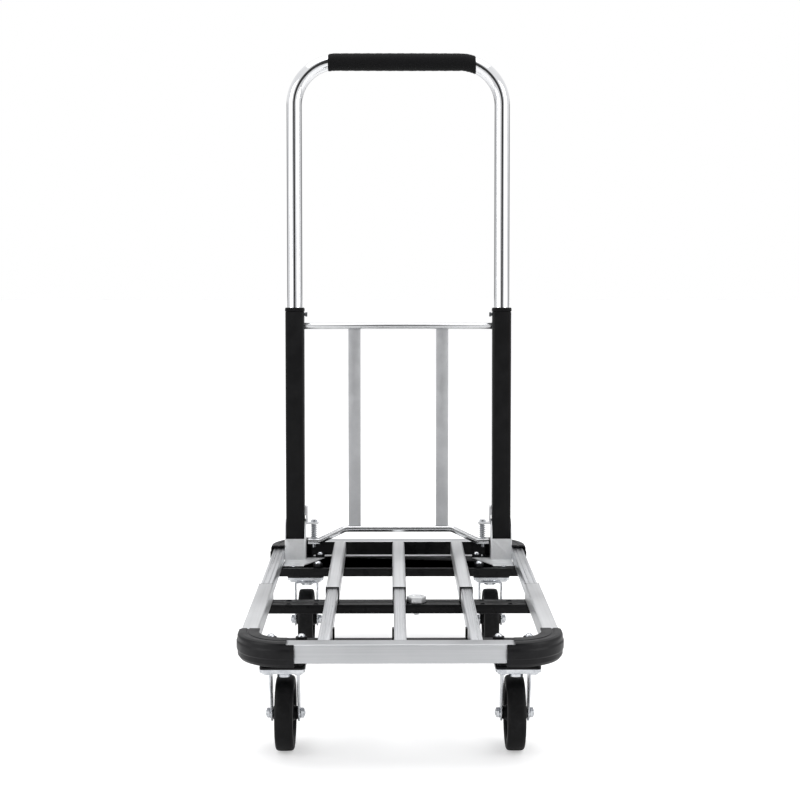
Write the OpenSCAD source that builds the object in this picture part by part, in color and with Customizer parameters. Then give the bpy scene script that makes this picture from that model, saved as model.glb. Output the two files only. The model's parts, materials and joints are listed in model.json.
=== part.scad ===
// Folding platform cart: an extending tube deck on four swivel casters,
// with a folding and telescoping push handle that locks upright.
// Millimetres. +X right, +Y towards the handle, +Z up. Origin on the floor, at the deck's centre.

/* [Overall] */
// Width over the corner bumpers
overall_w = 420; // [400:1:440]
// Length over the corner bumpers with the deck pulled out
overall_l = 700; // [680:1:740]
// Height of the frame's underside above the floor
frame_z = 140; // [138:0.5:144]
// Height of the crossbars and side rails
frame_h = 24; // [22:0.5:26]

/* [Casters] */
// Wheel diameter
wheel_d = 98; // [90:1:100]
// Wheel tread width
wheel_w = 24; // [20:1:26]
// Distance of each kingpin from the centre line
caster_x = 150; // [148:1:152]
// Distance of each kingpin from the deck's middle
caster_y = 270; // [268:1:272]
// Trail from the kingpin to the axle
trail = 16; // [14:1:18]
// Hole spacing across the caster plate
plate_hole_x = 40; // [38:1:42]
// Hole spacing along the caster plate
plate_hole_y = 74; // [70:1:76]

/* [Deck] */
// Centre of each outer deck tube from the centre line
tube_x = 97; // [90:1:100]
// Width of a deck sleeve
sleeve_w = 20; // [18:1:22]
// Wall thickness of the extrusions
wall = 1.8; // [1.5:0.1:2]
// Front end of the deck sleeves
sleeve_y0 = -24; // [-30:1:-20]

/* [Handle] */
// Backward lean of the locked handle in degrees
handle_lean = 2.9; // [0:0.1:3]
// Distance of each upright's centre from the centre line
upright_x = 169.5; // [169:0.1:170]
// Width and depth of an upright
upright_w = 30; // [29:0.1:30]
// Length of an upright above its pivot
upright_l = 354; // [330:1:370]
// Diameter of the chromed tube
tube_d = 25; // [22:0.5:25]
// Height of the grip's centre above the pivot
grip_h = 759; // [740:1:780]
// Radius of the chromed tube's bends
bend_r = 70; // [60:1:80]
// Length of the foam grip
grip_l = 240; // [220:1:250]
// Distance of the foam grip's middle from the centre line
grip_x = 6; // [0:1:8]
// Diameter of the foam grip
grip_d = 30; // [28:0.5:34]

/* [Hidden] */
$fn = 64;
eps = 0.5;

// Frame levels and places
frame_top = frame_z + frame_h;
half_w = overall_w / 2;
half_l = overall_l / 2;
crossbar_d = 25;
crossbar_y0 = half_l - 3 - crossbar_d;
crossbar_half = 145;
pan_t = 2;
flange_half = 145;
pan_y0 = caster_y - 52;
strip_t = 2.5;

// Casters
plate_t = 4;
plate_w = 58;
plate_l = 92;
corner_t = 3.5;
corner_z = frame_z - pan_t - 14.5;
plate_z = corner_z - plate_t;
axle_r = 5;
run_gap = 0.05;
crown_z = 107.5;
crown_front = 13;
race_r = 14.5;
crown_t = 3.5;
race_z = crown_z + crown_t + 2.5;
leg_in = 16.5;
leg_t = 2.5;
kingpin_r = 6;

// Side extrusions: the sleeve belongs to the front half and the rail to the rear half
side_sleeve_x0 = 184.2;
side_sleeve_x1 = 206;
side_sleeve_z0 = frame_z + 0.6;
side_gap = 0.2;
side_wall = 2.1;
rail_x0 = side_sleeve_x0 + side_wall + side_gap;
rail_x1 = side_sleeve_x1 - side_wall - side_gap;
rail_z0 = side_sleeve_z0 + side_wall + side_gap;
rail_z1 = frame_top - side_wall - side_gap;

// Deck tubes
sleeve_top = frame_top + 1;
tube_end = crossbar_y0 - pan_t;
deck_gap = 0.2;
inner_half = sleeve_w / 2 - wall - deck_gap;
inner_z0 = frame_z + wall + deck_gap;
inner_z1 = sleeve_top - wall - deck_gap;

// Bumper corner: the arc's centre and radii
bump_r = 65;
bump_cx = half_w - bump_r;
bump_cy = half_l - bump_r;
bump_leg = 12;
bump_skin = 3;
bump_in = 36;
bump_z0 = frame_z - 5.4;

// Mid beam
beam_y = -14.5;
beam_d = 35;
beam_z0 = frame_z - 13;
beam_hole_x = 121;
knob_x = 25;

// Handle frame: heights are measured up the handle from its pivot
pivot_y = half_l - 54;
pivot_z = frame_z + 54;
pivot_r = 5;
stub = 30;
cheek_t = 1.6;
cheek_in = upright_x - upright_w / 2 - 0.2 - 1.8;
cheek_out = upright_x + upright_w / 2 + 0.2 + cheek_t;
tube_r = tube_d / 2;
tube_wall = 1.5;
chrome_h0 = 290;
bore_gap = 0.4;
top_bar_h = 331;
top_bar_half = upright_x - upright_w / 2 - 0.6;
rod_r = 5.3;
knuckle_r = rod_r + 0.2;
slat_x = 72;
slat_w = 20;
slat_t = 3;
lower_mid_h = -3.5;
lower_end_h = -24;
lower_knee = 88;
lower_foot = 131;
lower_end_x = 149;
spring_x = 139;
flange_h = 5;
flange_t = 2.5;
button_h = 350;
button_head_r = 3.7;
button_proud = 5.3;

// ---------- helpers ----------

module along_x(x0, x1) translate([x0, 0, 0]) rotate([90, 0, 90]) linear_extrude(x1 - x0) children();

module along_y(y0, y1) translate([0, y1, 0]) rotate([90, 0, 0]) linear_extrude(y1 - y0) children();

module box(x0, x1, y0, y1, z0, z1) translate([x0, y0, z0]) cube([x1 - x0, y1 - y0, z1 - z0]);

module rounded(x0, x1, y0, y1, r) {
    translate([x0 + r, y0]) square([x1 - x0 - 2 * r, y1 - y0]);
    translate([x0, y0 + r]) square([x1 - x0, y1 - y0 - 2 * r]);
    for (x = [x0 + r, x1 - r], y = [y0 + r, y1 - r]) translate([x, y]) circle(r);
}

module on_side(side) {
    if (side > 0) children();
    else mirror([1, 0, 0]) children();
}

module on_end(end) {
    if (end > 0) children();
    else mirror([0, 1, 0]) children();
}

module both_sides() {
    children();
    mirror([1, 0, 0]) children();
}

module at_handle() translate([0, pivot_y, pivot_z]) rotate([-handle_lean, 0, 0]) children();

module rod_x(x0, x1, r) translate([x0, 0, 0]) rotate([0, 90, 0]) cylinder(h = x1 - x0, r = r);

// ---------- frame ends ----------

module crossbar(end) color("silver") on_end(end) difference() {
    along_x(-crossbar_half, crossbar_half)
        rounded(crossbar_y0, crossbar_y0 + crossbar_d, frame_z, frame_top, 1.5);
    box(-crossbar_half - 1, crossbar_half + 1, crossbar_y0 + 2, crossbar_y0 + crossbar_d - 2,
        frame_z + 2, frame_top - 2);
}

// Outline of the pressed pan, cut back at its outer corners to sit inside the bumpers
module pan_outline() polygon([
    [-204, pan_y0], [204, pan_y0], [204, pan_y0 + 48], [181, pan_y0 + 48], [181, 300],
    [150, crossbar_y0 + 8], [-150, crossbar_y0 + 8], [-181, 300], [-181, pan_y0 + 48],
    [-204, pan_y0 + 48]
]);

module pan(end) color("#1c1c1e") on_end(end) {
    difference() {
        union() {
            translate([0, 0, frame_z - pan_t]) linear_extrude(pan_t) pan_outline();
            box(-204, 204, pan_y0, pan_y0 + strip_t, corner_z + corner_t, frame_z - pan_t);
            box(-flange_half, flange_half, crossbar_y0 - pan_t, crossbar_y0, frame_z - pan_t,
                frame_top - 0.5);
            if (end > 0) both_sides() box(rail_x0, rail_x1, pan_y0 + 8, pan_y0 + 44, frame_z, rail_z0);
        }
        both_sides() {
            box(14, 82, pan_y0 + 15, pan_y0 + 36, frame_z - 5, frame_z + eps);
            box(109, 119, pan_y0 + 15, pan_y0 + 36, frame_z - 5, frame_z + eps);
            box(178, 184, pan_y0 + 15, pan_y0 + 36, frame_z - 5, frame_z + eps);
        }
        caster_holes(3.3, frame_z - 5, frame_z + 1);
    }
    if (end < 0) pan_tabs();
}

// Small upright tabs that steady the sliding tubes behind the front crossbar
module pan_tabs() for (x = [-tube_x + inner_half, -inner_half - 2.5, tube_x - inner_half - 2.5])
    box(x, x + 2.5, pan_y0 + 2, pan_y0 + 14, frame_z, frame_z + 15);

module caster_holes(r, z0, z1) both_sides()
    for (x = [-1, 1], y = [-1, 1])
        translate([caster_x + x * plate_hole_x / 2, caster_y + y * plate_hole_y / 2, z0])
            cylinder(h = z1 - z0, r = r);

// Wall profile of a bumper, in distance from the arc's centre and height
module bumper_profile() polygon([
    [bump_in, frame_top], [bump_in, frame_top + 3], [bump_r - 6, frame_top + 3],
    [bump_r - 2.2, frame_top + 1.8], [bump_r - 1.2, frame_top - 1], [bump_r - 1.2, frame_top - 6],
    [bump_r, frame_top - 7.5], [bump_r, frame_z + 6.5], [bump_r - 1, frame_z + 5],
    [bump_r - 1.2, frame_z - 1], [bump_r - 5, bump_z0], [bump_r - 7, bump_z0],
    [bump_r - 7, frame_z - 3], [bump_r - bump_skin, frame_z], [bump_r - bump_skin, frame_top]
]);

module bumper(side, end) color("#26262a") on_end(end) on_side(side) difference() {
    union() {
        translate([bump_cx, bump_cy, 0]) rotate_extrude(angle = 90) bumper_profile();
        translate([bump_cx, bump_cy, 0]) rotate([90, 0, 0]) linear_extrude(bump_leg) bumper_profile();
        translate([bump_cx - bump_leg, bump_cy, 0]) rotate([90, 0, 90]) linear_extrude(bump_leg)
            bumper_profile();
    }
    box(bump_cx - bump_leg - 1, bump_cx - 2, half_l - 40, half_l + 1, frame_top, frame_top + 5);
    if (end > 0) box(148, rail_x0 + 0.3, half_l - 84, half_l - 32, bump_z0 - 5, frame_top + 5);
}

module corner_plates(end) color("#202022") on_end(end) both_sides() difference() {
    union() {
        translate([caster_x, caster_y, corner_z]) linear_extrude(corner_t)
            rounded(-plate_w / 2, plate_w / 2, -plate_l / 2, plate_l / 2, 5);
        for (x = [-1, 1], y = [-1, 1])
            translate([caster_x + x * plate_hole_x / 2, caster_y + y * plate_hole_y / 2, corner_z])
                cylinder(h = frame_z - pan_t - corner_z, r = 6.5);
    }
    caster_holes(3.3, corner_z - 1, frame_z);
}

// ---------- caster mounting ----------

module caster_plates(end) color("#d8dadc") on_end(end) both_sides() difference() {
    translate([caster_x, caster_y, 0]) union() {
        translate([0, 0, plate_z]) linear_extrude(plate_t)
            rounded(-plate_w / 2, plate_w / 2, -plate_l / 2, plate_l / 2, 5);
        translate([0, 0, race_z]) cylinder(h = plate_z - race_z, r1 = race_r, r2 = 19);
        translate([0, 0, crown_z - 1]) cylinder(h = plate_z - crown_z + 1, r = kingpin_r);
        translate([0, 0, crown_z - 4]) cylinder(h = 3.7, r = 9.5);
    }
    caster_holes(3.5, plate_z - 1, corner_z + 1);
}

// Height at which the nut of a plate bolt sits: the outer rear ones clamp the foot bracket too
function nut_z(end, x) = frame_z + (end > 0 && x > 0 ? pan_t : 0);

// The outer inboard bolt of each rear plate ends flush in the foot bracket's base
function flush(end, x, y) = end > 0 && x > 0 && y < 0;

module caster_bolts(end) color("#e4e6e8") on_end(end) both_sides()
    for (x = [-1, 1], y = [-1, 1])
        translate([caster_x + x * plate_hole_x / 2, caster_y + y * plate_hole_y / 2, 0]) {
            translate([0, 0, plate_z - 4]) cylinder(h = 4, r = 5.8, $fn = 6);
            if (flush(end, x, y)) translate([0, 0, plate_z]) cylinder(h = frame_z + 1.8 - plate_z, r = 3);
            else {
                translate([0, 0, plate_z]) cylinder(h = nut_z(end, x) + 6 - plate_z, r = 3);
                translate([0, 0, nut_z(end, x) + 6]) intersection() {
                    translate([0, 0, -2.5]) sphere(7);
                    cylinder(h = 6, r = 8);
                }
            }
        }

module caster_nuts(end) color("#141416") on_end(end) both_sides()
    for (x = [-1, 1], y = [-1, 1]) if (!flush(end, x, y))
        translate([caster_x + x * plate_hole_x / 2, caster_y + y * plate_hole_y / 2, nut_z(end, x)])
            difference() {
                cylinder(h = 6, r = 7.4, $fn = 6);
                translate([0, 0, -1]) cylinder(h = 8, r = 3);
            }

// ---------- casters: the wheel trails towards the deck's middle at rest ----------

module at_caster(side, end) on_end(end) on_side(side) translate([caster_x, caster_y, 0]) children();

module fork_leg() along_x(leg_in, leg_in + leg_t) {
    polygon([
        [-20, crown_z + crown_t], [crown_front, crown_z + crown_t], [crown_front, crown_z - 6],
        [-trail + 10.6, wheel_d / 2 + 3], [-trail - 10.6, wheel_d / 2 + 3],
        [-trail - 9, wheel_d / 2 + 24], [-24, crown_z - 6]
    ]);
    translate([-trail, wheel_d / 2]) circle(11);
}

module caster_fork(side, end) color("#cfd2d5") at_caster(side, end) difference() {
    union() {
        both_sides() fork_leg();
        box(-leg_in - 1, leg_in + 1, -20, crown_front, crown_z, crown_z + crown_t);
        translate([0, 0, crown_z + crown_t]) cylinder(h = 2.2, r1 = race_r, r2 = race_r - 1);
    }
    translate([0, 0, crown_z - 1]) cylinder(h = 12, r = kingpin_r + run_gap);
    translate([-30, -trail, wheel_d / 2]) rod_x(0, 60, axle_r);
}

module caster_axle(side, end) color("#b9bcc0") at_caster(side, end)
    translate([0, -trail, wheel_d / 2]) {
        rod_x(-leg_in - leg_t, leg_in + leg_t, axle_r);
        both_sides() {
            translate([leg_in + leg_t, 0, 0]) rotate([0, 90, 0]) cylinder(h = 5, r = 7, $fn = 6);
            rod_x(leg_in + leg_t, leg_in + leg_t + 7, 3.5);
        }
    }

module wheel_hub(side, end) color("#2c2c2e") at_caster(side, end)
    translate([0, -trail, wheel_d / 2]) difference() {
        union() {
            rod_x(-16, 16, 10);
            difference() {
                rod_x(-wheel_w / 2 + 1, wheel_w / 2 - 1, wheel_d / 2 - 11);
                rod_x(-wheel_w / 2, wheel_w / 2, wheel_d / 2 - 15);
            }
            for (a = [0:72:359]) rotate([a, 0, 0]) box(-7, 7, -4, 4, 8, wheel_d / 2 - 13);
        }
        rod_x(-17, 17, axle_r + run_gap);
    }

module wheel_tyre(side, end) color("#18181a") at_caster(side, end)
    translate([0, -trail, wheel_d / 2]) rotate([0, 90, 0]) rotate_extrude()
        rounded_tread(wheel_d / 2 - 11, wheel_d / 2, wheel_w / 2);

// Square at the rim and rounded at the tread
module rounded_tread(r0, r1, half) {
    translate([r0, -half]) square([r1 - r0 - 4, 2 * half]);
    translate([r0, -half + 4]) square([r1 - r0, 2 * half - 8]);
    for (y = [-half + 4, half - 4]) translate([r1 - 4, y]) circle(4);
}

// ---------- deck ----------

module side_sleeve(side) color("#c9ccd0") on_side(side) difference() {
    along_y(-294, 2) rounded(side_sleeve_x0, side_sleeve_x1, side_sleeve_z0, frame_top, 2.5);
    box(side_sleeve_x0 + side_wall, side_sleeve_x1 - side_wall, -295, 3,
        side_sleeve_z0 + side_wall, frame_top - side_wall);
}

module side_rail(side) color("#c4c7ca") on_side(side) difference() {
    box(rail_x0, rail_x1, -115, 300, rail_z0, rail_z1);
    box(rail_x0 + 2, rail_x1 - 2, -116, 301, rail_z0 + 2, rail_z1 - 2.6);
    for (x = [rail_x0 + 4, rail_x1 - 5.5]) box(x, x + 1.5, -116, 301, rail_z1 - 1, rail_z1 + 1);
}

module deck_sleeve(place) color("#cdd0d3") translate([place * tube_x, 0, 0]) difference() {
    along_y(sleeve_y0, tube_end) rounded(-sleeve_w / 2, sleeve_w / 2, frame_z, sleeve_top, 5);
    box(-inner_half - deck_gap, inner_half + deck_gap, sleeve_y0 - 1, tube_end - 6,
        inner_z0 - deck_gap + 1, inner_z1 + deck_gap - 1);
    along_y(sleeve_y0 - 1, tube_end - 6)
        rounded(-inner_half - deck_gap, inner_half + deck_gap, inner_z0 - deck_gap, inner_z1 + deck_gap, 3.4);
}

module deck_tube(place) color("#d2d5d8") translate([place * tube_x, 0, 0]) difference() {
    along_y(-tube_end, 80) rounded(-inner_half, inner_half, inner_z0, inner_z1, 3.2);
    box(-inner_half + 1.8, inner_half - 1.8, -tube_end - 1, 81, inner_z0 + 1.8, inner_z1 - 2.4);
    for (x = [-3.5, 0, 3.5]) box(x - 0.4, x + 0.4, -tube_end - 1, 81, inner_z1 - 0.6, inner_z1 + 1);
}

module mid_beam() color("#1e1e20") difference() {
    along_x(-206, 206) polygon([
        [beam_y - beam_d / 2, beam_z0], [beam_y - beam_d / 2 + 2, beam_z0],
        [beam_y - beam_d / 2 + 2, frame_z - 2], [beam_y + beam_d / 2 - 2, frame_z - 2],
        [beam_y + beam_d / 2 - 2, beam_z0], [beam_y + beam_d / 2, beam_z0],
        [beam_y + beam_d / 2, frame_z], [beam_y + 1.5, frame_z], [beam_y + 1, frame_z - 1],
        [beam_y - 1, frame_z - 1], [beam_y - 1.5, frame_z], [beam_y - beam_d / 2, frame_z]
    ]);
    both_sides() for (x = [beam_hole_x, beam_hole_x + 40], y = [-11, 11])
        translate([x, beam_y + y, frame_z - 5]) cylinder(h = 10, r = 3.5);
    translate([knob_x, beam_y, frame_z - 5]) cylinder(h = 10, r = 4.05);
}

module lock_knob() color("#c2c4c6") translate([knob_x, beam_y, 0]) {
    difference() {
        translate([0, 0, frame_z + 0.3]) cylinder(h = 8.7, r = 14.4, $fn = 6);
        translate([0, 0, frame_z + 7.5]) cylinder(h = 3, r = 8);
    }
    translate([0, 0, frame_z - 19]) cylinder(h = 20, r = 4);
    translate([0, 0, frame_z - 6.5]) cylinder(h = 4.2, r = 7.5, $fn = 6);
}

// ---------- handle foot ----------

module cheek_outline() {
    polygon([
        [half_l - 74, frame_z], [half_l - 38, frame_z], [pivot_y + 13, pivot_z],
        [pivot_y - 13, pivot_z], [half_l - 74, pivot_z - 17]
    ]);
    translate([pivot_y, pivot_z]) circle(13);
}

module foot_bracket(side) color("#b4b6b8") on_side(side) difference() {
    union() {
        box(cheek_in, cheek_out, half_l - 118, half_l - 38, frame_z, frame_z + pan_t);
        box(cheek_in, cheek_out, half_l - 74, half_l - 71.8, frame_z, pivot_z - 17);
        along_x(cheek_in, cheek_in + 1.8) cheek_outline();
        along_x(cheek_out - cheek_t, cheek_out) cheek_outline();
        translate([0, 0, frame_z]) linear_extrude(pan_t) polygon([
            [cheek_in + 1, half_l - 112], [cheek_in + 1, half_l - 54], [122, half_l - 54]
        ]);
    }
    translate([0, pivot_y, pivot_z]) rod_x(140, 200, pivot_r);
    caster_holes(3.3, frame_z - 1, frame_z + 4);
}

module pivot_pins() color("#9a9c9e") both_sides()
    translate([0, pivot_y, pivot_z]) rod_x(cheek_in, cheek_out, pivot_r);

// ---------- handle ----------

module upright(side) color("#1b1b1d") on_side(side) at_handle() translate([upright_x, 0, 0])
    difference() {
        translate([0, 0, -stub]) linear_extrude(upright_l + stub)
            rounded(-upright_w / 2, upright_w / 2, -upright_w / 2, upright_w / 2, 3.5);
        translate([0, 0, 24]) cylinder(h = upright_l, r = tube_r + bore_gap);
        rod_x(-upright_w, upright_w, pivot_r + run_gap);
        translate([0, 0, button_h]) rod_x(-upright_w, -5, 2.6);
    }

module upright_collars() color("#141416") both_sides() at_handle()
    translate([upright_x, 0, upright_l]) difference() {
        linear_extrude(7) rounded(-15.5, 15.5, -15.5, 15.5, 4);
        translate([0, 0, -1]) cylinder(h = 9, r = tube_r + bore_gap);
    }

module snap_button(side) color("#8d8f92") on_side(side) at_handle()
    translate([upright_x - upright_w / 2, 0, button_h]) {
        rod_x(-2, 0.15, 2.5);
        rod_x(-button_proud, -2, button_head_r);
    }

module handle_run(r, h0) {
    both_sides() {
        translate([upright_x, 0, h0]) cylinder(h = grip_h - bend_r - h0, r = r);
        translate([upright_x - bend_r, 0, grip_h - bend_r]) rotate([90, 0, 0])
            rotate_extrude(angle = 90) translate([bend_r, 0]) circle(r);
    }
    translate([0, 0, grip_h]) rod_x(-upright_x + bend_r, upright_x - bend_r, r);
}

module chrome_handle() color("#e8eaec") at_handle() difference() {
    handle_run(tube_r, chrome_h0);
    handle_run(tube_r - tube_wall, chrome_h0 - 1);
}

// The sleeve covers the straight run and follows the bends for a short way
module foam_grip() color("#111113") at_handle() intersection() {
    difference() {
        handle_run(grip_d / 2, grip_h - bend_r - 10);
        handle_run(tube_r + 0.1, grip_h - bend_r - 11);
    }
    box(grip_x - grip_l / 2, grip_x + grip_l / 2, -grip_d, grip_d, grip_h - bend_r, grip_h + grip_d);
}

// ---------- release frame and its springs ----------

module release_top_bar() color("#a3a5a8") at_handle() translate([0, 0, top_bar_h]) {
    rod_x(-top_bar_half, top_bar_half, rod_r);
}

module release_slats() color("#b2b4b7") both_sides() at_handle() difference() {
    box(slat_x - slat_w / 2, slat_x + slat_w / 2, -slat_t / 2, slat_t / 2, lower_mid_h, top_bar_h);
    translate([0, 0, top_bar_h]) rod_x(0, 120, rod_r);
    translate([0, 0, lower_mid_h]) rod_x(0, 120, rod_r);
}

module release_lower_bar() color("#a9abae") at_handle() difference() {
    union() {
        translate([0, 0, lower_mid_h]) rod_x(-lower_knee, lower_knee, rod_r);
        both_sides() {
            slope = atan2(lower_mid_h - lower_end_h, lower_foot - lower_knee);
            translate([lower_knee, 0, lower_mid_h]) sphere(knuckle_r);
            translate([lower_knee, 0, lower_mid_h]) rotate([0, slope, 0])
                rod_x(0, (lower_foot - lower_knee) / cos(slope), rod_r);
            translate([lower_foot, 0, lower_end_h]) sphere(knuckle_r);
            translate([0, 0, lower_end_h]) rod_x(lower_foot, lower_end_x, rod_r);
        }
    }
    both_sides() translate([spring_x, 0, lower_end_h - 10]) cylinder(h = 20, r = 3.08);
}

module spring_tabs() color("#a6a8aa") both_sides() at_handle() difference() {
    union() {
        box(cheek_in - 2.9, cheek_in - 0.5, -9, 9, flange_h, 34);
        box(cheek_in - 0.5, upright_x - upright_w / 2, -9, 9, 20, 34);
        box(spring_x - 7.5, cheek_in - 0.5, -7, 7, flange_h, flange_h + flange_t);
    }
    translate([spring_x, 0, 0]) cylinder(h = 20, r = 3);
}

module spring_bolts() color("#c5c7c9") both_sides() at_handle() translate([spring_x, 0, 0]) {
    translate([0, 0, -34]) cylinder(h = flange_h + flange_t + 34, r = 3);
    translate([0, 0, flange_h + flange_t]) cylinder(h = 4, r = 5.2, $fn = 6);
}

// Coil spring swept from a hexagonal wire section
spring_turns = 6;
spring_steps = 16;
spring_r = 4.6;
wire_r = 0.7;
spring_h0 = lower_end_h + rod_r + wire_r;
spring_rise = flange_h - wire_r - spring_h0;

function coil_point(i, j) =
    let (n = spring_turns * spring_steps, a = 360 * i / spring_steps, b = 60 * j,
        r = spring_r + wire_r * cos(b))
    [r * cos(a), r * sin(a), spring_h0 + spring_rise * i / n + wire_r * sin(b)];

module coil() {
    n = spring_turns * spring_steps;
    points = [for (i = [0:n], j = [0:5]) coil_point(i, j)];
    sides = [for (i = [0:n - 1], j = [0:5])
        [6 * i + j, 6 * i + (j + 1) % 6, 6 * i + 6 + (j + 1) % 6, 6 * i + 6 + j]];
    ends = [[5, 4, 3, 2, 1, 0], [for (j = [0:5]) 6 * n + j]];
    polyhedron(points = points, faces = concat(sides, ends));
}

module release_springs() color("#d0d2d4") both_sides() at_handle() translate([spring_x, 0, 0]) coil();

// ---------- nodes ----------

crossbar(1);  // rear_crossbar
pan(1);  // rear_pan
bumper(-1, 1);  // rear_bumper_left
bumper(1, 1);  // rear_bumper_right
corner_plates(1);  // rear_corner_plates
side_rail(-1);  // side_rail_left
side_rail(1);  // side_rail_right
deck_sleeve(-1);  // deck_sleeve_left
deck_sleeve(0);  // deck_sleeve_centre
deck_sleeve(1);  // deck_sleeve_right
mid_beam();
foot_bracket(-1);  // foot_bracket_left
foot_bracket(1);  // foot_bracket_right
caster_plates(1);  // rear_caster_plates
caster_bolts(1);  // rear_caster_bolts
caster_nuts(1);  // rear_caster_nuts
pivot_pins();
crossbar(-1);  // front_crossbar
pan(-1);  // front_pan
bumper(-1, -1);  // front_bumper_left
bumper(1, -1);  // front_bumper_right
corner_plates(-1);  // front_corner_plates
side_sleeve(-1);  // side_sleeve_left
side_sleeve(1);  // side_sleeve_right
deck_tube(-1);  // deck_tube_left
deck_tube(0);  // deck_tube_centre
deck_tube(1);  // deck_tube_right
caster_plates(-1);  // front_caster_plates
caster_bolts(-1);  // front_caster_bolts
caster_nuts(-1);  // front_caster_nuts
caster_fork(-1, -1);  // fork_front_left
caster_fork(1, -1);  // fork_front_right
caster_fork(-1, 1);  // fork_rear_left
caster_fork(1, 1);  // fork_rear_right
caster_axle(-1, -1);  // axle_front_left
caster_axle(1, -1);  // axle_front_right
caster_axle(-1, 1);  // axle_rear_left
caster_axle(1, 1);  // axle_rear_right
wheel_hub(-1, -1);  // hub_front_left
wheel_hub(1, -1);  // hub_front_right
wheel_hub(-1, 1);  // hub_rear_left
wheel_hub(1, 1);  // hub_rear_right
wheel_tyre(-1, -1);  // tyre_front_left
wheel_tyre(1, -1);  // tyre_front_right
wheel_tyre(-1, 1);  // tyre_rear_left
wheel_tyre(1, 1);  // tyre_rear_right
upright(-1);  // upright_left
upright(1);  // upright_right
upright_collars();
spring_tabs();
spring_bolts();
release_springs();
release_top_bar();
release_slats();
release_lower_bar();
chrome_handle();
foam_grip();
snap_button(-1);  // snap_button_left
snap_button(1);  // snap_button_right
lock_knob();
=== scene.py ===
import json
import logging
import math
from dataclasses import dataclass
from enum import Enum
from typing import Sequence

import bmesh
import bpy
from mathutils import Matrix, Vector

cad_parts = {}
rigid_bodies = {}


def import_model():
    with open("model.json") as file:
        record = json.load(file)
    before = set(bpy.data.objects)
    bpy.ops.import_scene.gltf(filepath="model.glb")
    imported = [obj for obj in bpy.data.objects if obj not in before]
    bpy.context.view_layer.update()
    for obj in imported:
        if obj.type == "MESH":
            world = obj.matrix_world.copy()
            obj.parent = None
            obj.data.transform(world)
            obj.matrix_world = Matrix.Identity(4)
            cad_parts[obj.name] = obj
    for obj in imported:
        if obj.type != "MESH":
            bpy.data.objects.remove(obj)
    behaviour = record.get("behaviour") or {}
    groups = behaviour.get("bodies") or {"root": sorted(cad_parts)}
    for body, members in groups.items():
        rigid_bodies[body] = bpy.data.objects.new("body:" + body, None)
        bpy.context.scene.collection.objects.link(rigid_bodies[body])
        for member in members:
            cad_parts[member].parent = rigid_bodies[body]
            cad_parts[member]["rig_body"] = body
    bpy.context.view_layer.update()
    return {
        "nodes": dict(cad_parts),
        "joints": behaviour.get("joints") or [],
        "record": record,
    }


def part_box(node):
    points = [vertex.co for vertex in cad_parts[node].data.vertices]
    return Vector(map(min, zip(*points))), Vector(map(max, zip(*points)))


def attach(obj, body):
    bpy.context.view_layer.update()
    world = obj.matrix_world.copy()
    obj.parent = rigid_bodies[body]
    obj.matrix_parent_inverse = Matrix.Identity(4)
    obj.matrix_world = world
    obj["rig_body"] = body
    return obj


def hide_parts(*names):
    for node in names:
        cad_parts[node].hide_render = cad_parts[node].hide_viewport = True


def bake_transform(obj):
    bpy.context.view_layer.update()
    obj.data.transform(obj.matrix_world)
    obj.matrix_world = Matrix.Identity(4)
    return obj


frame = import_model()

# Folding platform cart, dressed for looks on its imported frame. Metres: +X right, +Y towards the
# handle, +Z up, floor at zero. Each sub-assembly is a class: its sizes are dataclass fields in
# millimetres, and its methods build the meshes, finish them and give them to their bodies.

MM = 0.001
LOG = logging.getLogger("platform_cart")
Pair = tuple[float, float]


class Axis(Enum):
    """The direction that a part is drawn, turned or rolled along."""

    X = 0
    Y = 1
    Z = 2

    def frame(self) -> tuple[Vector, Vector, Vector]:
        """Returns the axis and the two directions square to it."""
        units = [Vector((1, 0, 0)), Vector((0, 1, 0)), Vector((0, 0, 1))]
        return units[self.value], units[(self.value + 1) % 3], units[(self.value + 2) % 3]


class Side(Enum):
    """The side of the cart, seen from its front."""

    LEFT = -1
    RIGHT = 1


class End(Enum):
    """The end of the deck: the handle stands at the rear."""

    FRONT = -1
    REAR = 1


def linear(hex_colour: str) -> tuple[float, float, float, float]:
    """Turns an sRGB hex colour into linear RGBA.

    Args:
        hex_colour: the colour, such as "#C8CACC"
    Returns:
        red, green, blue and full alpha
    """
    value = hex_colour.lstrip("#")
    parts = [int(value[i:i + 2], 16) / 255 for i in (0, 2, 4)]
    return (*[c / 12.92 if c <= 0.04045 else ((c + 0.055) / 1.055) ** 2.4 for c in parts], 1.0)


def add_node(tree: bpy.types.NodeTree, kind: str, settings: dict | None = None,
             inputs: dict | None = None) -> bpy.types.Node:
    """Adds one node, sets its properties and fills or links its inputs.

    Args:
        tree: the shader or geometry tree that gets the node
        kind: the node's type name
        settings: its properties by name
        inputs: by socket name or number, a value or the output socket that feeds it
    Returns:
        the new node
    """
    node = tree.nodes.new(kind)
    for key, value in (settings or {}).items():
        setattr(node, key, value)
    for key, value in (inputs or {}).items():
        if isinstance(value, bpy.types.NodeSocket):
            tree.links.new(value, node.inputs[key])
        else:
            node.inputs[key].default_value = value
    return node


# ---------- finishes ----------

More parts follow.
